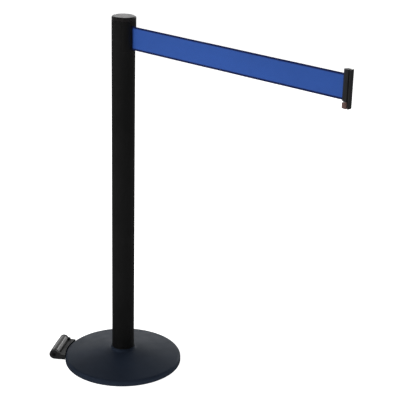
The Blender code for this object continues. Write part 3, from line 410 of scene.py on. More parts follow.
@dataclass(frozen=True)
class Paint:
    """Sprayed or powder paint: faint orange peel, soft blotches and fine dust."""

    name: str
    color: Color
    roughness: float = 0.42
    peel: float = 0.00004
    peel_size: float = 900.0
    specular: float = 0.35
    tint: Color = (1.0, 1.0, 1.0)

    def make(self) -> bpy.types.Material:
        """Builds the material."""
        n = Nodes(self.name)
        blotch = n.noise(9.0, 4.0)
        dust = n.noise(420.0, 2.0)
        color = n.mottle(self.color, blotch, (0.35, 0.65), (0.86, 1.16))
        color = n.mix(n.ramp(dust, 0.62, 0.80, 0.0, 0.25), color, rgba(self.color, 2.2))
        rough = n.ramp(n.noise(30.0, 5.0), 0.3, 0.7, self.roughness - 0.04, self.roughness + 0.05)
        n.set(Base_Color=color, Roughness=rough, Specular_IOR_Level=self.specular)
        n.set(Normal=n.bump(n.noise(self.peel_size, 1.0), self.peel))
        n.set(Specular_Tint=rgba(self.tint))
        return n.material


@dataclass(frozen=True)
class Plastic:
    """Moulded plastic: fine spark texture, flow marks, and handling shine."""

    name: str
    color: Color
    roughness: float = 0.42
    grain: float = 0.00003
    grain_size: float = 2600.0
    specular: float = 0.4

    def make(self) -> bpy.types.Material:
        """Builds the material."""
        n = Nodes(self.name)
        flow = n.noise(22.0, 3.0, (1.0, 1.0, 0.35))
        shine = n.noise(60.0, 5.0)
        n.set(Base_Color=n.mottle(self.color, flow, (0.3, 0.7), (0.85, 1.2)))
        n.set(Roughness=n.ramp(shine, 0.35, 0.7, self.roughness - 0.06, self.roughness + 0.05))
        n.set(Specular_IOR_Level=self.specular, Normal=n.bump(n.noise(self.grain_size, 1.0), self.grain))
        return n.material


@dataclass(frozen=True)
class Metal:
    """Bare or plated metal: drawn or turned lines, and slight staining."""

    name: str
    color: Color
    roughness: float = 0.3
    lines: Point = (1.0, 1.0, 40.0)
    depth: float = 0.00001

    def make(self) -> bpy.types.Material:
        """Builds the material."""
        n = Nodes(self.name)
        line = n.noise(160.0, 2.0, self.lines)
        stain = n.noise(45.0, 4.0)
        n.set(Base_Color=n.mottle(self.color, stain, (0.4, 0.75), (1.0, 0.72)))
        n.set(Roughness=n.ramp(line, 0.3, 0.7, self.roughness - 0.06, self.roughness + 0.08))
        n.set(Metallic=1.0, Normal=n.bump(line, self.depth))
        return n.material


@dataclass(frozen=True)
class Rough:
    """Cast iron, felt or rubber: a matt ground with coarse and fine relief."""

    name: str
    color: Color
    coarse: float
    fine: float
    relief: float
    roughness: float = 0.85
    metallic: float = 0.0

    def make(self) -> bpy.types.Material:
        """Builds the material."""
        n = Nodes(self.name)
        coarse, fine = n.noise(self.coarse, 5.0), n.noise(self.fine, 3.0)
        n.set(Base_Color=n.mix(coarse, rgba(self.color, 0.75), rgba(self.color, 1.25)))
        n.set(Roughness=n.ramp(fine, 0.3, 0.7, self.roughness - 0.08, self.roughness + 0.08))
        n.set(Metallic=self.metallic, Specular_IOR_Level=0.3)
        n.set(Normal=n.bump(fine, self.relief, 0.6, n.bump(coarse, self.relief * 2.0)))
        return n.material


@dataclass(frozen=True)
class Webbing:
    """Flat polyester webbing: close diagonal ribs crossed by weft threads, and a darker woven selvedge.

    Where the belt leaves the bezel's slot, at root, a painted shadow of the slot darkens it over a few
    millimetres.
    The yarns are measured along X and Z, so they keep their size at every length of the belt.
    """

    name: str
    color: Color
    low: float
    high: float
    # the selvedge's own colour, which the painted shadow at the slot also darkens towards
    selvedge_and_shadow_color: Color = (0.002, 0.008, 0.060)
    edge: float = 0.0062
    root: float = -1.0
    root_shade: float = 0.0050
    rib: float = 0.0011
    weft: float = 0.0007
    relief: float = 0.00012

    def wave(self, n: Nodes, value: bpy.types.NodeSocket, pitch: float) -> bpy.types.NodeSocket:
        """A sine of one turn for each pitch, from 0 to 1."""
        turn = n.math("MULTIPLY", value, math.tau / pitch)
        return n.ramp(n.math("SINE", turn), -1.0, 1.0, 0.0, 1.0)

    def make(self) -> bpy.types.Material:
        """Builds the material."""
        n = Nodes(self.name)
        spot = n.node("SeparateXYZ", {0: n.coordinates.outputs["Object"]})
        x, z = spot.outputs["X"], spot.outputs["Z"]
        middle = (self.low + self.high) / 2
        across = n.math("ABSOLUTE", n.math("SUBTRACT", z, middle))
        half = (self.high - self.low) / 2
        edge = n.ramp(across, half - self.edge, half - self.edge * 0.7, 0.0, 1.0)
        chevron = n.math("ADD", across, n.math("MULTIPLY", x, 0.55))
        rib, weft = self.wave(n, chevron, self.rib), self.wave(n, x, self.weft)
        lengthwise = self.wave(n, z, self.weft)
        body = n.math("MULTIPLY", n.math("ADD", rib, n.math("MULTIPLY", weft, 0.5)), 0.667)
        height = n.node("Mix", {0: edge, 2: body, 3: n.math("MULTIPLY", lengthwise, 1.1)}).outputs[0]
        fade = n.noise(4.5, 3.0, (1.0, 1.0, 3.0))
        fuzz = n.noise(700.0, 2.0)
        ground = n.mottle(self.color, fade, (0.35, 0.65), (0.93, 1.07))
        # painted shade: where the weave's height is low, between ribs and threads, the colour darkens to 0.72
        # of the belt's
        ground = n.mix(n.ramp(height, 0.1, 0.8, 0.0, 1.0), rgba(self.color, 0.72), ground)
        ground = n.mix(n.ramp(fuzz, 0.55, 0.8, 0.0, 0.18), ground, rgba(self.color, 1.6))
        # painted shadow of the bezel's slot: the belt darkens over its first few millimetres out of the slot
        painted_slot_shadow = n.ramp(x, self.root, self.root + self.root_shade, 0.8, 0.0)
        ground = n.mix(painted_slot_shadow, ground, rgba(self.selvedge_and_shadow_color))
        n.set(Base_Color=n.mix(edge, ground, rgba(self.selvedge_and_shadow_color)))
        n.set(Roughness=n.ramp(fuzz, 0.3, 0.7, 0.68, 0.82), Specular_IOR_Level=0.2)
        n.set(Sheen_Weight=0.08, Sheen_Roughness=0.4)
        n.set(Normal=n.bump(height, self.relief, 0.7))
        return n.material


class Finish(Enum):
    """Every finish on the stanchion but the webbing, which is made to the belt's own width."""

    BASE_PAINT = Paint(
        "navy_black_paint", (0.0155, 0.0210, 0.0340), roughness=0.40, peel=0.00004, specular=0.15,
        tint=(0.50, 0.74, 1.0),
    )
    TUBE_PAINT = Paint("satin_black_powder", (0.0062, 0.0062, 0.0062), roughness=0.44, specular=0.22)
    CAP_PLASTIC = Plastic("cap_plastic", (0.0085, 0.0078, 0.0080), roughness=0.30, specular=0.5)
    BEZEL_PLASTIC = Plastic("bezel_plastic", (0.0064, 0.0064, 0.0064), roughness=0.44, specular=0.22)
    BLACK_PLASTIC = Plastic("black_plastic", (0.0130, 0.0130, 0.0140), roughness=0.42)
    END_PLASTIC = Plastic("belt_end_plastic", (0.0165, 0.0165, 0.0175), roughness=0.36, specular=0.3)
    LEVER_PLASTIC = Plastic("lever_plastic", (0.1000, 0.0560, 0.0480), roughness=0.34, specular=0.5)
    ROLLER_PLASTIC = Plastic("roller_plastic", (0.0300, 0.0280, 0.0280), roughness=0.22, specular=0.9)
    WHITE_PLASTIC = Plastic("white_plastic", (0.7000, 0.6900, 0.6600), roughness=0.40)
    RUBBER = Rough("black_rubber", (0.0130, 0.0130, 0.0130), 60.0, 1500.0, 0.00005)
    IRON = Rough("cast_iron", (0.0700, 0.0680, 0.0660), 120.0, 900.0, 0.00015, 0.62, 0.6)
    FELT = Rough("grey_felt", (0.1700, 0.1650, 0.1600), 300.0, 2400.0, 0.00020, 0.95)
    ZINC = Metal("zinc_plate", (0.5600, 0.5500, 0.5300), 0.32)
    BLACK_OXIDE = Metal("blackened_steel", (0.0600, 0.0580, 0.0580), 0.40)
    SPRING = Metal("blued_spring_steel", (0.2600, 0.2800, 0.3300), 0.28)
    BRONZE = Metal("sintered_bronze", (0.5200, 0.3300, 0.1500), 0.42, (1.0, 1.0, 1.0))


class Paintbox:
    """Makes each finish once and gives it to pieces of the frame."""

    def __init__(self, frame: dict) -> None:
        """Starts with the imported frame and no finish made."""
        self.frame = frame
        self.made: dict[Finish, bpy.types.Material] = {}

    def dress(self, obj: bpy.types.Object, material: bpy.types.Material | Finish) -> None:
        """Gives every face of an object one material."""
        obj.data.materials.clear()
        obj.data.materials.append(self.get(material) if isinstance(material, Finish) else material)

    def get(self, finish: Finish) -> bpy.types.Material:
        """The material of a finish."""
        if finish not in self.made:
            self.made[finish] = finish.value.make()
        return self.made[finish]

    def dress_nodes(self, finish: Finish, *names: str) -> None:
        """Gives frame nodes a finish; their meshes stay as they are."""
        for name in names:
            for place in self.frame["nodes"][name].material_slots:
                place.material = self.get(finish)

    def show(self, finish: Finish, slot: str, *names: str, body: str = ROOT, ease: float = 0.0002) -> None:
        """Shows frame nodes as eased copies of themselves.

        Args:
            finish: What the copies are finished in.
            slot: The record's material slot.
            names: The nodes.
            body: The body that they move with.
            ease: How far the rounding of their edges reaches.
        """
        for name in names:
            obj = eased_copy(self.frame, name, ease)
            self.dress(obj, finish)
            seat(obj, body, slot, name)


def seat(obj: bpy.types.Object, body: str, slot: str, *nodes: str) -> None:
    """Parents a piece to the body that it rides on, hides the nodes that it stands for, and logs it.

    Args:
        obj: The finished piece.
        body: The body that it moves with.
        slot: The record's material slot; not used.
        nodes: The frame's nodes that it replaces.
    """
    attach(obj, body)
    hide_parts(*nodes)
    LOG.info("%s: %d faces, rides on %s", obj.name, len(obj.data.polygons), body)


# ---------------------------------------------------------------- base


@dataclass
class Base:
    """The drawn steel cover over the weight, and the pad that it stands on."""

    paints: Paintbox
    wall: float = 0.0015
    slope: float = math.radians(9.5)
    skirt_top: float = 0.0100
    shoulder: float = 0.0080
    fillet: float = 0.0070
    neck_gap: float = 0.0004
    swell: float = 0.0002
    arc_steps: int = 14
    slope_steps: int = 26
    columns: int = 240
    pad_steps: int = 130
    pad_columns: int = 180
    pad_edge_bulge: float = 0.8

    def profile(self, offset: float) -> Array:
        """The cover's section at a distance inside its outer skin, from the neck's top to the skirt's foot.

        A fillet leads from the neck to a straight slope, and the shoulder is an arc down to the skirt.
        The slope swells by a tenth of a millimetre or two along a half sine, as a drawn cover does.

        Args:
            offset: Distance inwards from the outer skin.

        Returns:
            An (n, 2) array of radius and height.
        """
        low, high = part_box("base_cover")
        radius, top = high[0], high[2]
        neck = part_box("post_tube")[1][0] + self.neck_gap + self.wall
        shoulder_center = (radius - self.shoulder, self.skirt_top)
        level = math.pi / 2 - self.slope
        shoulder_arc = arc(shoulder_center, self.shoulder - offset, level, 0.0, self.arc_steps)
        skin_r = shoulder_center[0] + self.shoulder * math.sin(self.slope)
        skin_z = shoulder_center[1] + self.shoulder * math.cos(self.slope)
        fillet_r = neck + self.fillet
        tangent_r = fillet_r - self.fillet * math.sin(self.slope)
        fillet_z = skin_z + (skin_r - tangent_r) * math.tan(self.slope) + self.fillet * math.cos(self.slope)
        fillet_arc = arc(
            (fillet_r, fillet_z), self.fillet + offset, math.pi, math.pi + level, self.arc_steps
        )
        share = np.linspace(0.0, 1.0, self.slope_steps)[1:-1, None]
        slope = fillet_arc[-1] + share * (shoulder_arc[0] - fillet_arc[-1])
        slope[:, 1] += self.swell * np.sin(math.pi * share[:, 0])
        foot = np.array([[radius - offset, low[2]]])
        neck_top = np.array([[neck - offset, top]])
        return np.concatenate([neck_top, fillet_arc, slope, shoulder_arc, foot])

    def build(self) -> None:
        """Builds the cover as one closed skin and dresses the hidden pieces under it."""
        outer, inner = self.profile(0.0), self.profile(self.wall)
        half = self.wall / 2
        lip = arc((outer[-1, 0] - half, outer[-1, 1] + half), half, 0.0, -math.pi, ROUND_STEPS)
        rim = arc((outer[0, 0] - half, outer[0, 1] - half), half, math.pi, 0.0, ROUND_STEPS)
        section = np.concatenate([rim, outer[1:-1], lip, inner[1:-1][::-1]])
        cover = Surface("base_cover_skin").turned(section, self.columns).build()
        self.paints.dress(cover, Finish.BASE_PAINT)
        seat(cover, ROOT, "navy_black_paint", "base_cover")
        self.build_pad()
        self.paints.dress_nodes(Finish.IRON, "base_weight")
        self.paints.dress_nodes(Finish.ZINC, "tie_bolt", "tie_bolt_washer", "foot_plug")

    def build_pad(self) -> None:
        """Builds the pad: a disc with a rounded edge and concentric grip rings pressed into its underside.

        The underside's height is a raised cosine of the radius with one ring for each pitch, and it is flat
        at the middle, where the pad's rest face is.
        """
        low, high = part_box("floor_pad")
        radius, top = high[0], high[2]
        pitch, depth, flat, edge_width, plain_rim = 0.009, 0.0006, 0.018, 0.0012, 0.012
        edge_start = radius - edge_width
        r = np.linspace(0.0, edge_start, self.pad_steps)
        groove = depth * 0.5 * (1 - np.cos(math.tau * (r - flat) / pitch))
        groove = np.where((r > flat) & (r < radius - plain_rim), groove, 0.0)
        under = np.stack([r, low[2] + groove], axis=1)[::-1]
        edge = arc((edge_start, (low[2] + top) / 2), (top - low[2]) / 2, math.pi / 2, -math.pi / 2, 9)
        edge[:, 0] = edge_start + (edge[:, 0] - edge_start) * self.pad_edge_bulge
        section = np.concatenate([[[0.0, top]], edge, under])
        pad = Surface("floor_pad_rubber").turned(section, self.pad_columns, closed=False).build()
        self.paints.dress(pad, Finish.RUBBER)
        seat(pad, ROOT, "black_rubber", "floor_pad")


# ---------------------------------------------------------------- tilt roller


@dataclass
class TiltRoller:
    """The roller at the base's rim, on which the tipped stanchion is wheeled away."""

    paints: Paintbox
    azimuth: float = math.radians(211.0)
    half_length: float = 0.0457
    crown: float = 0.0004
    end_round: float = 0.0016
    bore: float = 0.0056
    hub: float = 0.0074
    recess_rim: float = 0.0045
    recess_depth: float = 0.0012
    recess_draft: Span = (0.0005, 0.0004)
    steps_along: int = 60
    columns: int = 96

    def build(self) -> None:
        """Builds the roller and dresses the bracket, the axle and the screws."""
        low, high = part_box("roller")
        center = ((low[0] + high[0]) / 2, (low[1] + high[1]) / 2, (low[2] + high[2]) / 2)
        radius = (high[2] - low[2]) / 2
        lay = placed(self.azimuth, -math.pi / 2, "X", center)
        roller = Surface("roller_barrel").turned(self.section(radius), self.columns, place=lay).build(30.0)
        self.paints.dress(roller, Finish.ROLLER_PLASTIC)
        seat(roller, "roller", "roller_nylon", "roller")
        show = self.paints.show
        show(Finish.BLACK_PLASTIC, "black_plastic", "roller_bracket", ease=0.0008)
        show(Finish.BLACK_OXIDE, "zinc_steel", "roller_axle")
        show(Finish.BLACK_OXIDE, "spring_steel", "roller_axle_clip")
        show(Finish.ZINC, "zinc_steel", "bracket_screw_left", "bracket_screw_right")
        self.paints.dress_nodes(Finish.WHITE_PLASTIC, "roller_bush_near", "roller_bush_far")

    def section(self, radius: float) -> Array:
        """The roller's closed section: a crowned barrel with rounded ends, a recessed web and a bore.

        Args:
            radius: The roller's largest radius.

        Returns:
            An (n, 2) array of radius and distance along the axle.
        """
        half, edge, mirror = self.half_length, self.end_round, np.array([1.0, -1.0])
        along = np.linspace(half - edge, -half + edge, self.steps_along)
        barrel = np.stack([radius - self.crown * (along / half) ** 2, along], axis=1)
        upper = arc((radius - self.crown - edge, half - edge), edge, math.pi / 2, 0.0, ROUND_STEPS)
        floor, rim, (outer, inner) = half - self.recess_depth, radius - self.recess_rim, self.recess_draft
        recess = np.array([
            [rim, half], [rim - outer, floor], [self.hub + inner, floor], [self.hub, half], [self.bore, half],
        ])
        lower, tail = upper[::-1] * mirror, recess * mirror
        return np.concatenate([upper, barrel[1:-1], lower, tail, recess[::-1]])


# ---------------------------------------------------------------- post and head


@dataclass
class Post:
    """The powder-coated tube, with a front window, a slot and latch notch behind, and two screw sinks."""

    paints: Paintbox
    wall: float = 0.0016
    window_half: float = 0.0112
    window_drop: float = 0.0048
    slot_half: float = 0.0027
    slot_drop: float = 0.0011
    notch_half: float = 0.0056
    notch_low: float = 0.0007
    notch_high: float = 0.0041
    sink_margin: float = 0.0009
    sink_throat: float = 0.6
    sink_columns: int = 32
    steps_around: tuple[int, ...] = (8, 52, 2, 4, 2, 52)
    steps_up: tuple[int, int, int] = (40, 6, 14)
    screws: tuple[tuple[str, float], ...] = (
        ("cassette_screw_side", math.radians(90.0)),
        ("cassette_screw_back", math.radians(180.0)),
    )

    def build(self) -> None:
        """Builds the tube: an open outer skin, a wall from Solidify, and a cone cut for each screw."""
        low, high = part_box("post_tube")
        radius = (high[1] - low[1]) / 2
        tube = self.skin(radius, low[2], high[2])
        solid = tube.modifiers.new("wall", "SOLIDIFY")
        solid.thickness = self.wall
        solid.offset = -1.0
        carve(tube, [self.sink(name, azimuth, radius) for name, azimuth in self.screws])
        self.paints.dress(tube, Finish.TUBE_PAINT)
        seat(tube, ROOT, "satin_black_tube", "post_tube")

    def skin(self, radius: float, foot: float, top: float) -> bpy.types.Object:
        """The outer skin on a grid of angles and heights, without the quads of the three openings.

        Args:
            radius: The tube's radius.
            foot: The tube's lowest height.
            top: Its highest.

        Returns:
            The open skin.
        """
        slot_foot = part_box("end_tongue")[0][2] - self.slot_drop
        window_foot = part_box("belt")[0][2] - self.window_drop
        low, high = slot_foot + self.notch_low, slot_foot + self.notch_high
        halves = (self.window_half, self.notch_half, self.slot_half)
        window, notch, slot = (math.asin(half / radius) for half in halves)
        corners = (-window, window, math.pi - notch, math.pi - slot, math.pi + slot, math.pi + notch)
        angle = np.concatenate([
            np.linspace(start, end, count, endpoint=False)
            for start, end, count in zip(corners, (*corners[1:], math.tau - window), self.steps_around)
        ])
        below, between, above = self.steps_up
        height = np.concatenate([
            np.linspace(foot, slot_foot, below), (low, high), np.linspace(high, window_foot, between)[1:],
            np.linspace(window_foot, top, above)[1:],
        ])
        a, z = angle[None, :], height[:, None]
        grid = np.stack([radius * np.cos(a) + 0 * z, radius * np.sin(a) + 0 * z, z + 0 * a], axis=-1)
        after = np.append(angle[1:], math.tau - window)
        at = ((angle + after) / 2)[None, :]
        up = ((height[1:] + height[:-1]) / 2)[:, None]
        off_back = np.abs(at - math.pi)
        open_front = (np.abs(at) < window) & (up > window_foot)
        open_slot = (off_back < slot) & (up > slot_foot)
        open_notch = (off_back < notch) & (up > low) & (up < high)
        keep = ~(open_front | open_slot | open_notch)
        return Surface("post_tube_skin").add(grid, wrap_columns=True, keep=keep).build(60.0)

    def sink(self, screw: str, azimuth: float, radius: float) -> bpy.types.Object:
        """A cone for one screw's head, on a line out of the post.

        Args:
            screw: The screw's node.
            azimuth: Which way the screw points out.
            radius: The tube's radius.

        Returns:
            The cone, which only cuts.
        """
        low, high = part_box(screw)
        head = (high[2] - low[2]) / 2
        place = placed(azimuth, math.pi / 2, "Y", (0.0, 0.0, (low[2] + high[2]) / 2))
        over, under = radius + 2 * self.wall, radius - 2 * self.wall
        mouth, throat = head + self.sink_margin, head * self.sink_throat
        cone = np.array([[0.0, over], [mouth, over], [mouth, radius], [throat, radius - self.wall],
                         [throat, under], [0.0, under]])
        return Surface(f"{screw}_sink").turned(cone, self.sink_columns, closed=False, place=place).build()


@dataclass
class Cap:
    """The cap: a rounded lid that swells over the bezel, on a hollow spigot, cut by the receiver's T."""

    paints: Paintbox
    edge: float = 0.0035
    seam: float = 0.0003
    spigot: float = 0.02985
    spigot_wall: float = 0.0022
    flat_angle: float = math.radians(40.0)
    fade_angle: float = math.radians(56.0)
    channel_floor: float = -0.02545
    channel_lip: float = -0.0295
    channel_half: float = 0.0078
    slot_half: float = 0.0027
    columns: int = 240
    lid_steps: int = 9
    bend_steps: int = 10

    def build(self) -> None:
        """Builds the cap and cuts the T through it."""
        low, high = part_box("top_cap")
        swell = high[0] + low[0]
        radius = -low[0]
        profile = self.profile(radius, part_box("post_tube")[1][2] + self.seam, low[2], high[2])
        angle = np.linspace(-math.pi, math.pi, self.columns, endpoint=False)[None, :]
        front = 1 - smoothstep(np.abs(angle), self.flat_angle, self.fade_angle)
        r = profile[:, 0][:, None] + profile[:, 2][:, None] * swell * front
        z = profile[:, 1][:, None] + 0 * angle
        grid = np.stack([r * np.cos(angle), r * np.sin(angle), z], axis=-1)
        cap = Surface("cap_moulding").add(grid, wrap_columns=True).build(SHARP_ANGLE)
        through = (low[2] - self.edge, high[2] + self.edge)
        carve(cap, [
            self.block("channel", (self.channel_lip, self.channel_floor), self.channel_half, through),
            self.block("slot", (-2 * radius, self.channel_lip + self.seam), self.slot_half, through),
        ])
        self.paints.dress(cap, Finish.CAP_PLASTIC)
        seat(cap, ROOT, "black_plastic", "top_cap")

    def profile(self, radius: float, seam: float, low: float, high: float) -> Array:
        """The cap's section from the top's middle, over the rounded edge, to the hollow's middle.

        Args:
            radius: The lid's radius where it doesn't swell.
            seam: The height of the lid's underside.
            low: The spigot's foot.
            high: The cap's top.

        Returns:
            An (n, 3) array of radius, height, and the share of the swell that a point takes.
        """
        top = np.linspace(0.0, radius - self.edge, self.lid_steps)[:-1]
        lid = np.stack([top, np.full_like(top, high), top / radius], axis=1)
        center = (radius - self.edge, high - self.edge)
        bend = arc(center, self.edge, math.pi / 2, 0.0, self.bend_steps)
        bend = np.concatenate([bend, np.ones((len(bend), 1))], axis=1)
        inner = self.spigot - self.spigot_wall
        rest = [[radius, seam + self.seam, 1], [radius - self.seam, seam, 1], [self.spigot, seam, 0],
                [self.spigot, low + self.seam, 0], [self.spigot - self.seam, low, 0], [inner, low, 0],
                [inner, seam, 0], [0.0, seam, 0]]
        return np.concatenate([lid, bend, np.array(rest)])

    def block(self, name: str, across: Span, half: float, tall: Span) -> bpy.types.Object:
        """A straight block that only cuts.

        Args:
            name: Its name.
            across: Its lowest and highest X.
            half: Half its width along Y.
            tall: Its lowest and highest Z.

        Returns:
            The block.
        """
        x = np.array([across[0], across[1], across[1], across[0]])
        y = np.array([-half, -half, half, half])
        grid = np.stack([np.stack([x, y, np.full(4, z)], axis=-1) for z in tall])
        return Surface(name).prism(grid).build()


@dataclass
class Head:
    """The cap, the bezel, and the cassette with its spool."""

    paints: Paintbox

    def build(self) -> None:
        """Shows the mouldings and screws as eased copies, and dresses the pieces inside."""
        Cap(self.paints).build()
        show, dress = self.paints.show, self.paints.dress_nodes
        show(Finish.BEZEL_PLASTIC, "black_plastic", "belt_bezel", ease=0.0004)
        show(Finish.BLACK_OXIDE, "zinc_steel", "cassette_screw_side", "cassette_screw_back")
        cassette = ("cassette_body", "cassette_top_plate", "spring_divider", "spring_cup")
        show(Finish.BLACK_PLASTIC, "black_plastic", *cassette, ease=0.0)
        dress(Finish.ZINC, "spool_spindle", "spring_arbor", "belt_guide_pin_left", "belt_guide_pin_right")
        dress(Finish.SPRING, "spindle_clip", "power_spring")
        dress(Finish.FELT, "retraction_brake_ring")
        dress(Finish.WHITE_PLASTIC, "spool")
        dress(Finish.BRONZE, "spool_bush_upper", "spool_bush_lower")
        LOG.info("head dressed")


# ---------------------------------------------------------------- belt


@dataclass
class Belt:
    """The webbing, from the bezel's slot to the end piece's grip."""

    paints: Paintbox
    color: Color = (0.0225, 0.078, 0.325)
    columns: int = 240
    rows: int = 26
    ripple: float = 0.0003
    ripple_turns: Span = (17.0, 31.0)
    ripple_slant: float = 40.0
    calm_ends: Span = (0.06, 0.25)
    squareness: int = 40
    core_wall: float = 0.0049
    wound_pitch: float = 0.000525
    steps_a_turn: int = 60
    run_steps: int = 48
    clearance: float = 0.0003

    def build(self) -> None:
        """Builds the free belt, the belt on the spool and the run between them."""
        low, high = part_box("belt")
        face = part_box("belt_bezel")[1][0]
        webbing = Webbing("blue_webbing", self.color, low[2], high[2]).make()
        belt = self.sheet(low, high)
        self.paints.dress(belt, Webbing("free_webbing", self.color, low[2], high[2], root=face).make())
        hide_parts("belt")
        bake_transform(belt)
        self.even_stretch(belt)
        LOG.info("belt: %d faces, bends between %s and belt_end", len(belt.data.polygons), ROOT)
        self.wind(webbing)
        self.lead_out(webbing)

    def wind(self, webbing: bpy.types.Material) -> None:
        """Winds the rest of the belt on the spool.

        The belt's middle line is a spiral: the radius grows by one pitch for each turn.

        Args:
            webbing: The belt's material.
        """
        low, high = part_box("belt_roll")
        belt_low, belt_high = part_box("belt")
        thick = belt_high[1] - belt_low[1]
        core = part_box("spool_bush_upper")[1][0] + self.core_wall
        outer = (high[0] - low[0]) / 2
        turns = (outer - core - thick) / self.wound_pitch
        angle = np.linspace(0.0, math.tau * turns, int(turns * self.steps_a_turn))
        radius = core + thick / 2 + self.wound_pitch * angle / math.tau
        middle = radius[:, None] * np.stack([np.cos(angle), np.sin(angle)], axis=1)
        wound, length = self.ribbon("belt_wound", middle, low[2], high[2], thick)
        self.paints.dress(wound, webbing)
        seat(wound, "spool", "blue_webbing", "belt_roll")
        LOG.info("wound belt: %.3f m in %.1f turns", length, turns)

    def lead_out(self, webbing: bpy.types.Material) -> None:
        """Leads the belt off the roll at a tangent, between the two guide pins and straight out to the slot.

        Args:
            webbing: The belt's material.
        """
        low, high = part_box("belt_inner_run")
        pin_low, pin_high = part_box("belt_guide_pin_left")
        belt_low, belt_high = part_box("belt")
        thick = belt_high[1] - belt_low[1]
        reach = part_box("belt_roll")[1][0] + self.clearance + thick
        angle = -math.acos(reach / pin_low[0])
        corners = np.array([
            [reach * math.cos(angle), reach * math.sin(angle)],
            [pin_low[0] - self.clearance, -self.clearance / 2],
            [(pin_low[0] + pin_high[0]) / 2, 0.0],
            [high[0], 0.0],
        ])
        along = np.concatenate([[0.0], np.cumsum(np.linalg.norm(np.diff(corners, axis=0), axis=1))])
        spots = np.linspace(0.0, along[-1], self.run_steps)
        middle = np.stack([np.interp(spots, along, corners[:, side]) for side in (0, 1)], axis=1)
        run, length = self.ribbon("belt_run", middle, low[2], high[2], thick)
        self.paints.dress(run, webbing)
        seat(run, ROOT, "blue_webbing", "belt_inner_run")
        LOG.info("belt run in the head: %.4f m", length)

    def ribbon(
        self, name: str, middle: Array, low: float, high: float, thick: float
    ) -> tuple[bpy.types.Object, float]:
        """An upright strip of webbing along a path in plan, closed at both ends.

        Each point of the path has a thin rectangular ring of four points, half the thickness to each side.

        Args:
            name: The piece's name.
            middle: The strip's middle line, an (n, 2) array.
            low: The height of its lower edge.
            high: The height of its upper edge.
            thick: Its thickness.

        Returns:
            The strip and its length.
        """
        step = np.gradient(middle, axis=0)
        step /= np.linalg.norm(step, axis=1, keepdims=True)
        out = np.stack([step[:, 1], -step[:, 0]], axis=1)
        side = np.array([-0.5, 0.5, 0.5, -0.5]) * thick
        flat = middle[:, None, :] + side[None, :, None] * out[:, None, :]
        up = np.broadcast_to(np.array([low, low, high, high])[None, :, None], (len(middle), 4, 1))
        grid = np.concatenate([flat, up], axis=2)
        length = float(np.sum(np.linalg.norm(np.diff(middle, axis=0), axis=1)))
        return Surface(name).prism(grid).build(50.0), length

    def sheet(self, low: Point, high: Point) -> bpy.types.Object:
        """The belt's two faces and its folded edges as one closed skin.

        The section across the belt is a thin oval-edged strip. Along the belt its middle line moves
        sideways by a few tenths of a millimetre along two sines, which die away at both ends.

        Args:
            low: The lowest corner of the belt's box.
            high: The highest corner of the belt's box.

        Returns:
            The belt.
        """
        half = (high[2] - low[2]) / 2
        thick = (high[1] - low[1]) / 2
        middle = (high[2] + low[2]) / 2
        across = np.cos(np.linspace(0.0, math.pi, self.rows)) * half
        bulge = thick * np.sqrt(np.clip(1 - (np.abs(across) / half) ** self.squareness, 0.0, 1.0))
        ring_z = np.concatenate([across, across[::-1][1:-1]])
        ring_y = np.concatenate([bulge, -bulge[::-1][1:-1]])
        x = np.linspace(low[0], high[0], self.columns)[:, None]
        share = (x - low[0]) / (high[0] - low[0])
        calm = smoothstep(share, *self.calm_ends) * smoothstep(1 - share, *self.calm_ends)
        long, short = self.ripple_turns
        slanted = share * short + ring_z[None, :] * self.ripple_slant
        sway = self.ripple * calm * (np.sin(share * long) + 0.5 * np.sin(slanted))
        x_all, z_all = x + 0 * ring_z[None, :], middle + ring_z[None, :] + 0 * x
        grid = np.stack([x_all, ring_y[None, :] + sway, z_all], axis=-1)
        surface = Surface("belt_webbing").add(grid, wrap_columns=True)
        for end in (0, -1):
            ring = grid[end]
            mirrored = ring[(-np.arange(len(ring))) % len(ring)]
            surface.add(np.stack([ring, mirrored])[:, : self.rows])
        return surface.build(60.0)

    def even_stretch(self, belt: bpy.types.Object) -> None:
        """Reads the belt's point positions, and does nothing more with them.

        Args:
            belt: The belt.
        """
        count = len(belt.data.vertices)
        co = np.empty(count * 3, np.float32)
        belt.data.vertices.foreach_get("co", co)


@dataclass
class BeltEnd:
    """The two shells, the tongue and the release lever at the end of the belt."""

    paints: Paintbox

    def build(self) -> None:
        """Shows the end piece's mouldings and screws as eased copies, and dresses the spring."""
        show, rides = self.paints.show, "belt_end"
        shells = ("end_shell_front", "end_shell_rear", "end_tongue")
        show(Finish.END_PLASTIC, "black_plastic", *shells, body=rides, ease=0.0003)
        pins = ("end_screw_upper", "end_screw_lower", "lever_pin")
        show(Finish.BLACK_OXIDE, "zinc_steel", *pins, body=rides)
        lever = "release_lever"
        show(Finish.LEVER_PLASTIC, "dark_brown_plastic", lever, body=lever, ease=0.0003)
        self.paints.dress_nodes(Finish.SPRING, "lever_spring")
        LOG.info("belt end dressed")


# ---------------------------------------------------------------- studio


@dataclass(frozen=True)
class Softbox:
    """A square soft light that points at a target; only a mirrored one is seen in glossy pieces."""

    name: str
    at: Point
    target: Point
    power: float
    size: float = 2.4
    mirrored: bool = False

    def build(self) -> None:
        """Hangs the light; its power is in watts."""
        data = bpy.data.lights.new(self.name, "AREA")
        data.shape = "SQUARE"
        data.size = self.size
        data.energy = self.power
        lamp = bpy.data.objects.new(self.name, data)
        bpy.context.scene.collection.objects.link(lamp)
        lamp.visible_glossy = self.mirrored
        lamp.location = self.at
        aim = Vector(self.target) - Vector(self.at)
        lamp.rotation_euler = aim.to_track_quat("-Z", "Y").to_euler()


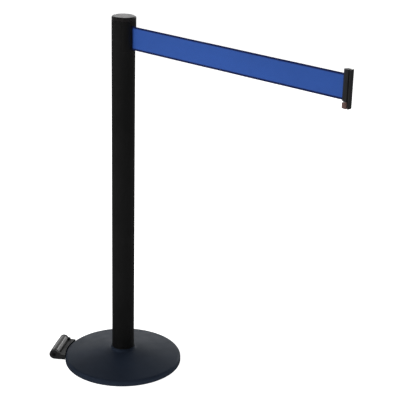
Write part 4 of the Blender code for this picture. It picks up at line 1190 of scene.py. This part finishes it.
@dataclass
class Studio:
    """The floor, the lights and the camera."""

    camera_at: Point = (2.18846, -2.13792, 1.6219)
    lens: float = 104.74
    pitch: float = math.radians(90.0 - 20.1397)
    heading: float = math.radians(41.6508)
    roll: float = math.radians(1.4492)
    floor_half: float = 14.0
    floor_steps: int = 40
    floor_glow: float = 0.92
    back: Point = (-0.4485, 0.8938, 0.0)
    band: float = 1.05
    band_height: Span = (0.28, 0.66)
    band_width: Span = (0.15, 0.85)
    horizon: Span = (-0.02, 0.02)
    dome: float = 0.10
    lights: tuple[Softbox, ...] = (
        Softbox("left_softbox", (-1.2, -2.3, 1.7), (0.1, 0.0, 0.8), 48.0),
        Softbox("front_softbox", (0.9, -2.9, 2.3), (0.3, 0.0, 0.8), 22.0),
        Softbox("rear_softbox", (-0.6, 2.9, 2.2), (0.2, 0.0, 0.7), 34.0),
        Softbox("roller_card", (-0.76, 2.5, 1.39), (-0.17, -0.1, 0.02), 2.6, size=0.5, mirrored=True),
    )

    def build(self) -> None:
        """Builds the whole studio."""
        self.build_camera()
        self.build_floor()
        self.build_world()
        for light in self.lights:
            light.build()
        bpy.context.scene.view_settings.view_transform = "Standard"
        LOG.info("studio ready")

    def build_camera(self) -> None:
        """Puts the camera at its place; its roll is about its own line of sight."""
        data = bpy.data.cameras.new("camera")
        data.lens = self.lens
        data.sensor_width = 36.0
        data.clip_end = 100.0
        camera = bpy.data.objects.new("camera", data)
        bpy.context.scene.collection.objects.link(camera)
        turn = Matrix.Rotation(self.heading, 4, "Z") @ Matrix.Rotation(self.pitch, 4, "X")
        camera.matrix_world = Matrix.Translation(self.camera_at) @ turn @ Matrix.Rotation(self.roll, 4, "Z")
        bpy.context.scene.camera = camera

    def build_floor(self) -> None:
        """A large, flat, pale floor that glows a little, so that it comes out as plain white."""
        x = np.linspace(-self.floor_half, self.floor_half, self.floor_steps)[None, :]
        y = x.T
        floor = Surface("floor").add(np.stack([x + 0 * y, y + 0 * x, 0 * x * y], axis=-1)).build()
        n = Nodes("pale_floor")
        n.set(Base_Color=(0.92, 0.92, 0.92, 1.0), Roughness=0.9, Specular_IOR_Level=0.1)
        n.set(Emission_Color=WHITE, Emission_Strength=self.floor_glow)
        floor.data.materials.append(n.material)
        floor.visible_glossy = False

    def build_world(self) -> None:
        """Plain white for the eye. For light, a dim dome with a bright band low down behind the object.

        The band's strength is a product of three smooth steps: one falls with the height, one rises to
        the back, and one is the horizon.
        """
        world = bpy.data.worlds.new("studio_world")
        bpy.context.scene.world = world
        world.use_nodes = True
        n = Tree(world.node_tree)
        background = n.tree.nodes["Background"].inputs
        background["Color"].default_value = WHITE
        light = self.band
        steps = (
            (UP, self.band_height, 1.0, 0.0),
            (self.back, self.band_width, 0.0, 1.0),
            (UP, self.horizon, 0.0, 1.0),
        )
        for along, span, start, end in steps:
            inputs = {0: n.coordinates.outputs["Generated"], 1: along}
            part = n.node("VectorMath", inputs, operation="DOT_PRODUCT").outputs["Value"]
            light = n.math("MULTIPLY", light, n.ramp(part, *span, start, end, "SMOOTHSTEP"))
        camera_ray = n.node("LightPath").outputs["Is Camera Ray"]
        inputs = {0: camera_ray, 2: n.math("ADD", light, self.dome), 3: 1.0}
        n.link(n.node("Mix", inputs, data_type="FLOAT").outputs[0], background["Strength"])


def main() -> None:
    """Builds the studio and every sub-assembly."""
    logging.basicConfig(level=logging.INFO, format="%(name)s: %(message)s")
    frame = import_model()
    Studio().build()
    paints = Paintbox(frame)
    for part in (Base, TiltRoller, Post, Head, Belt, BeltEnd):
        part(paints).build()


if __name__ == "__main__":
    main()
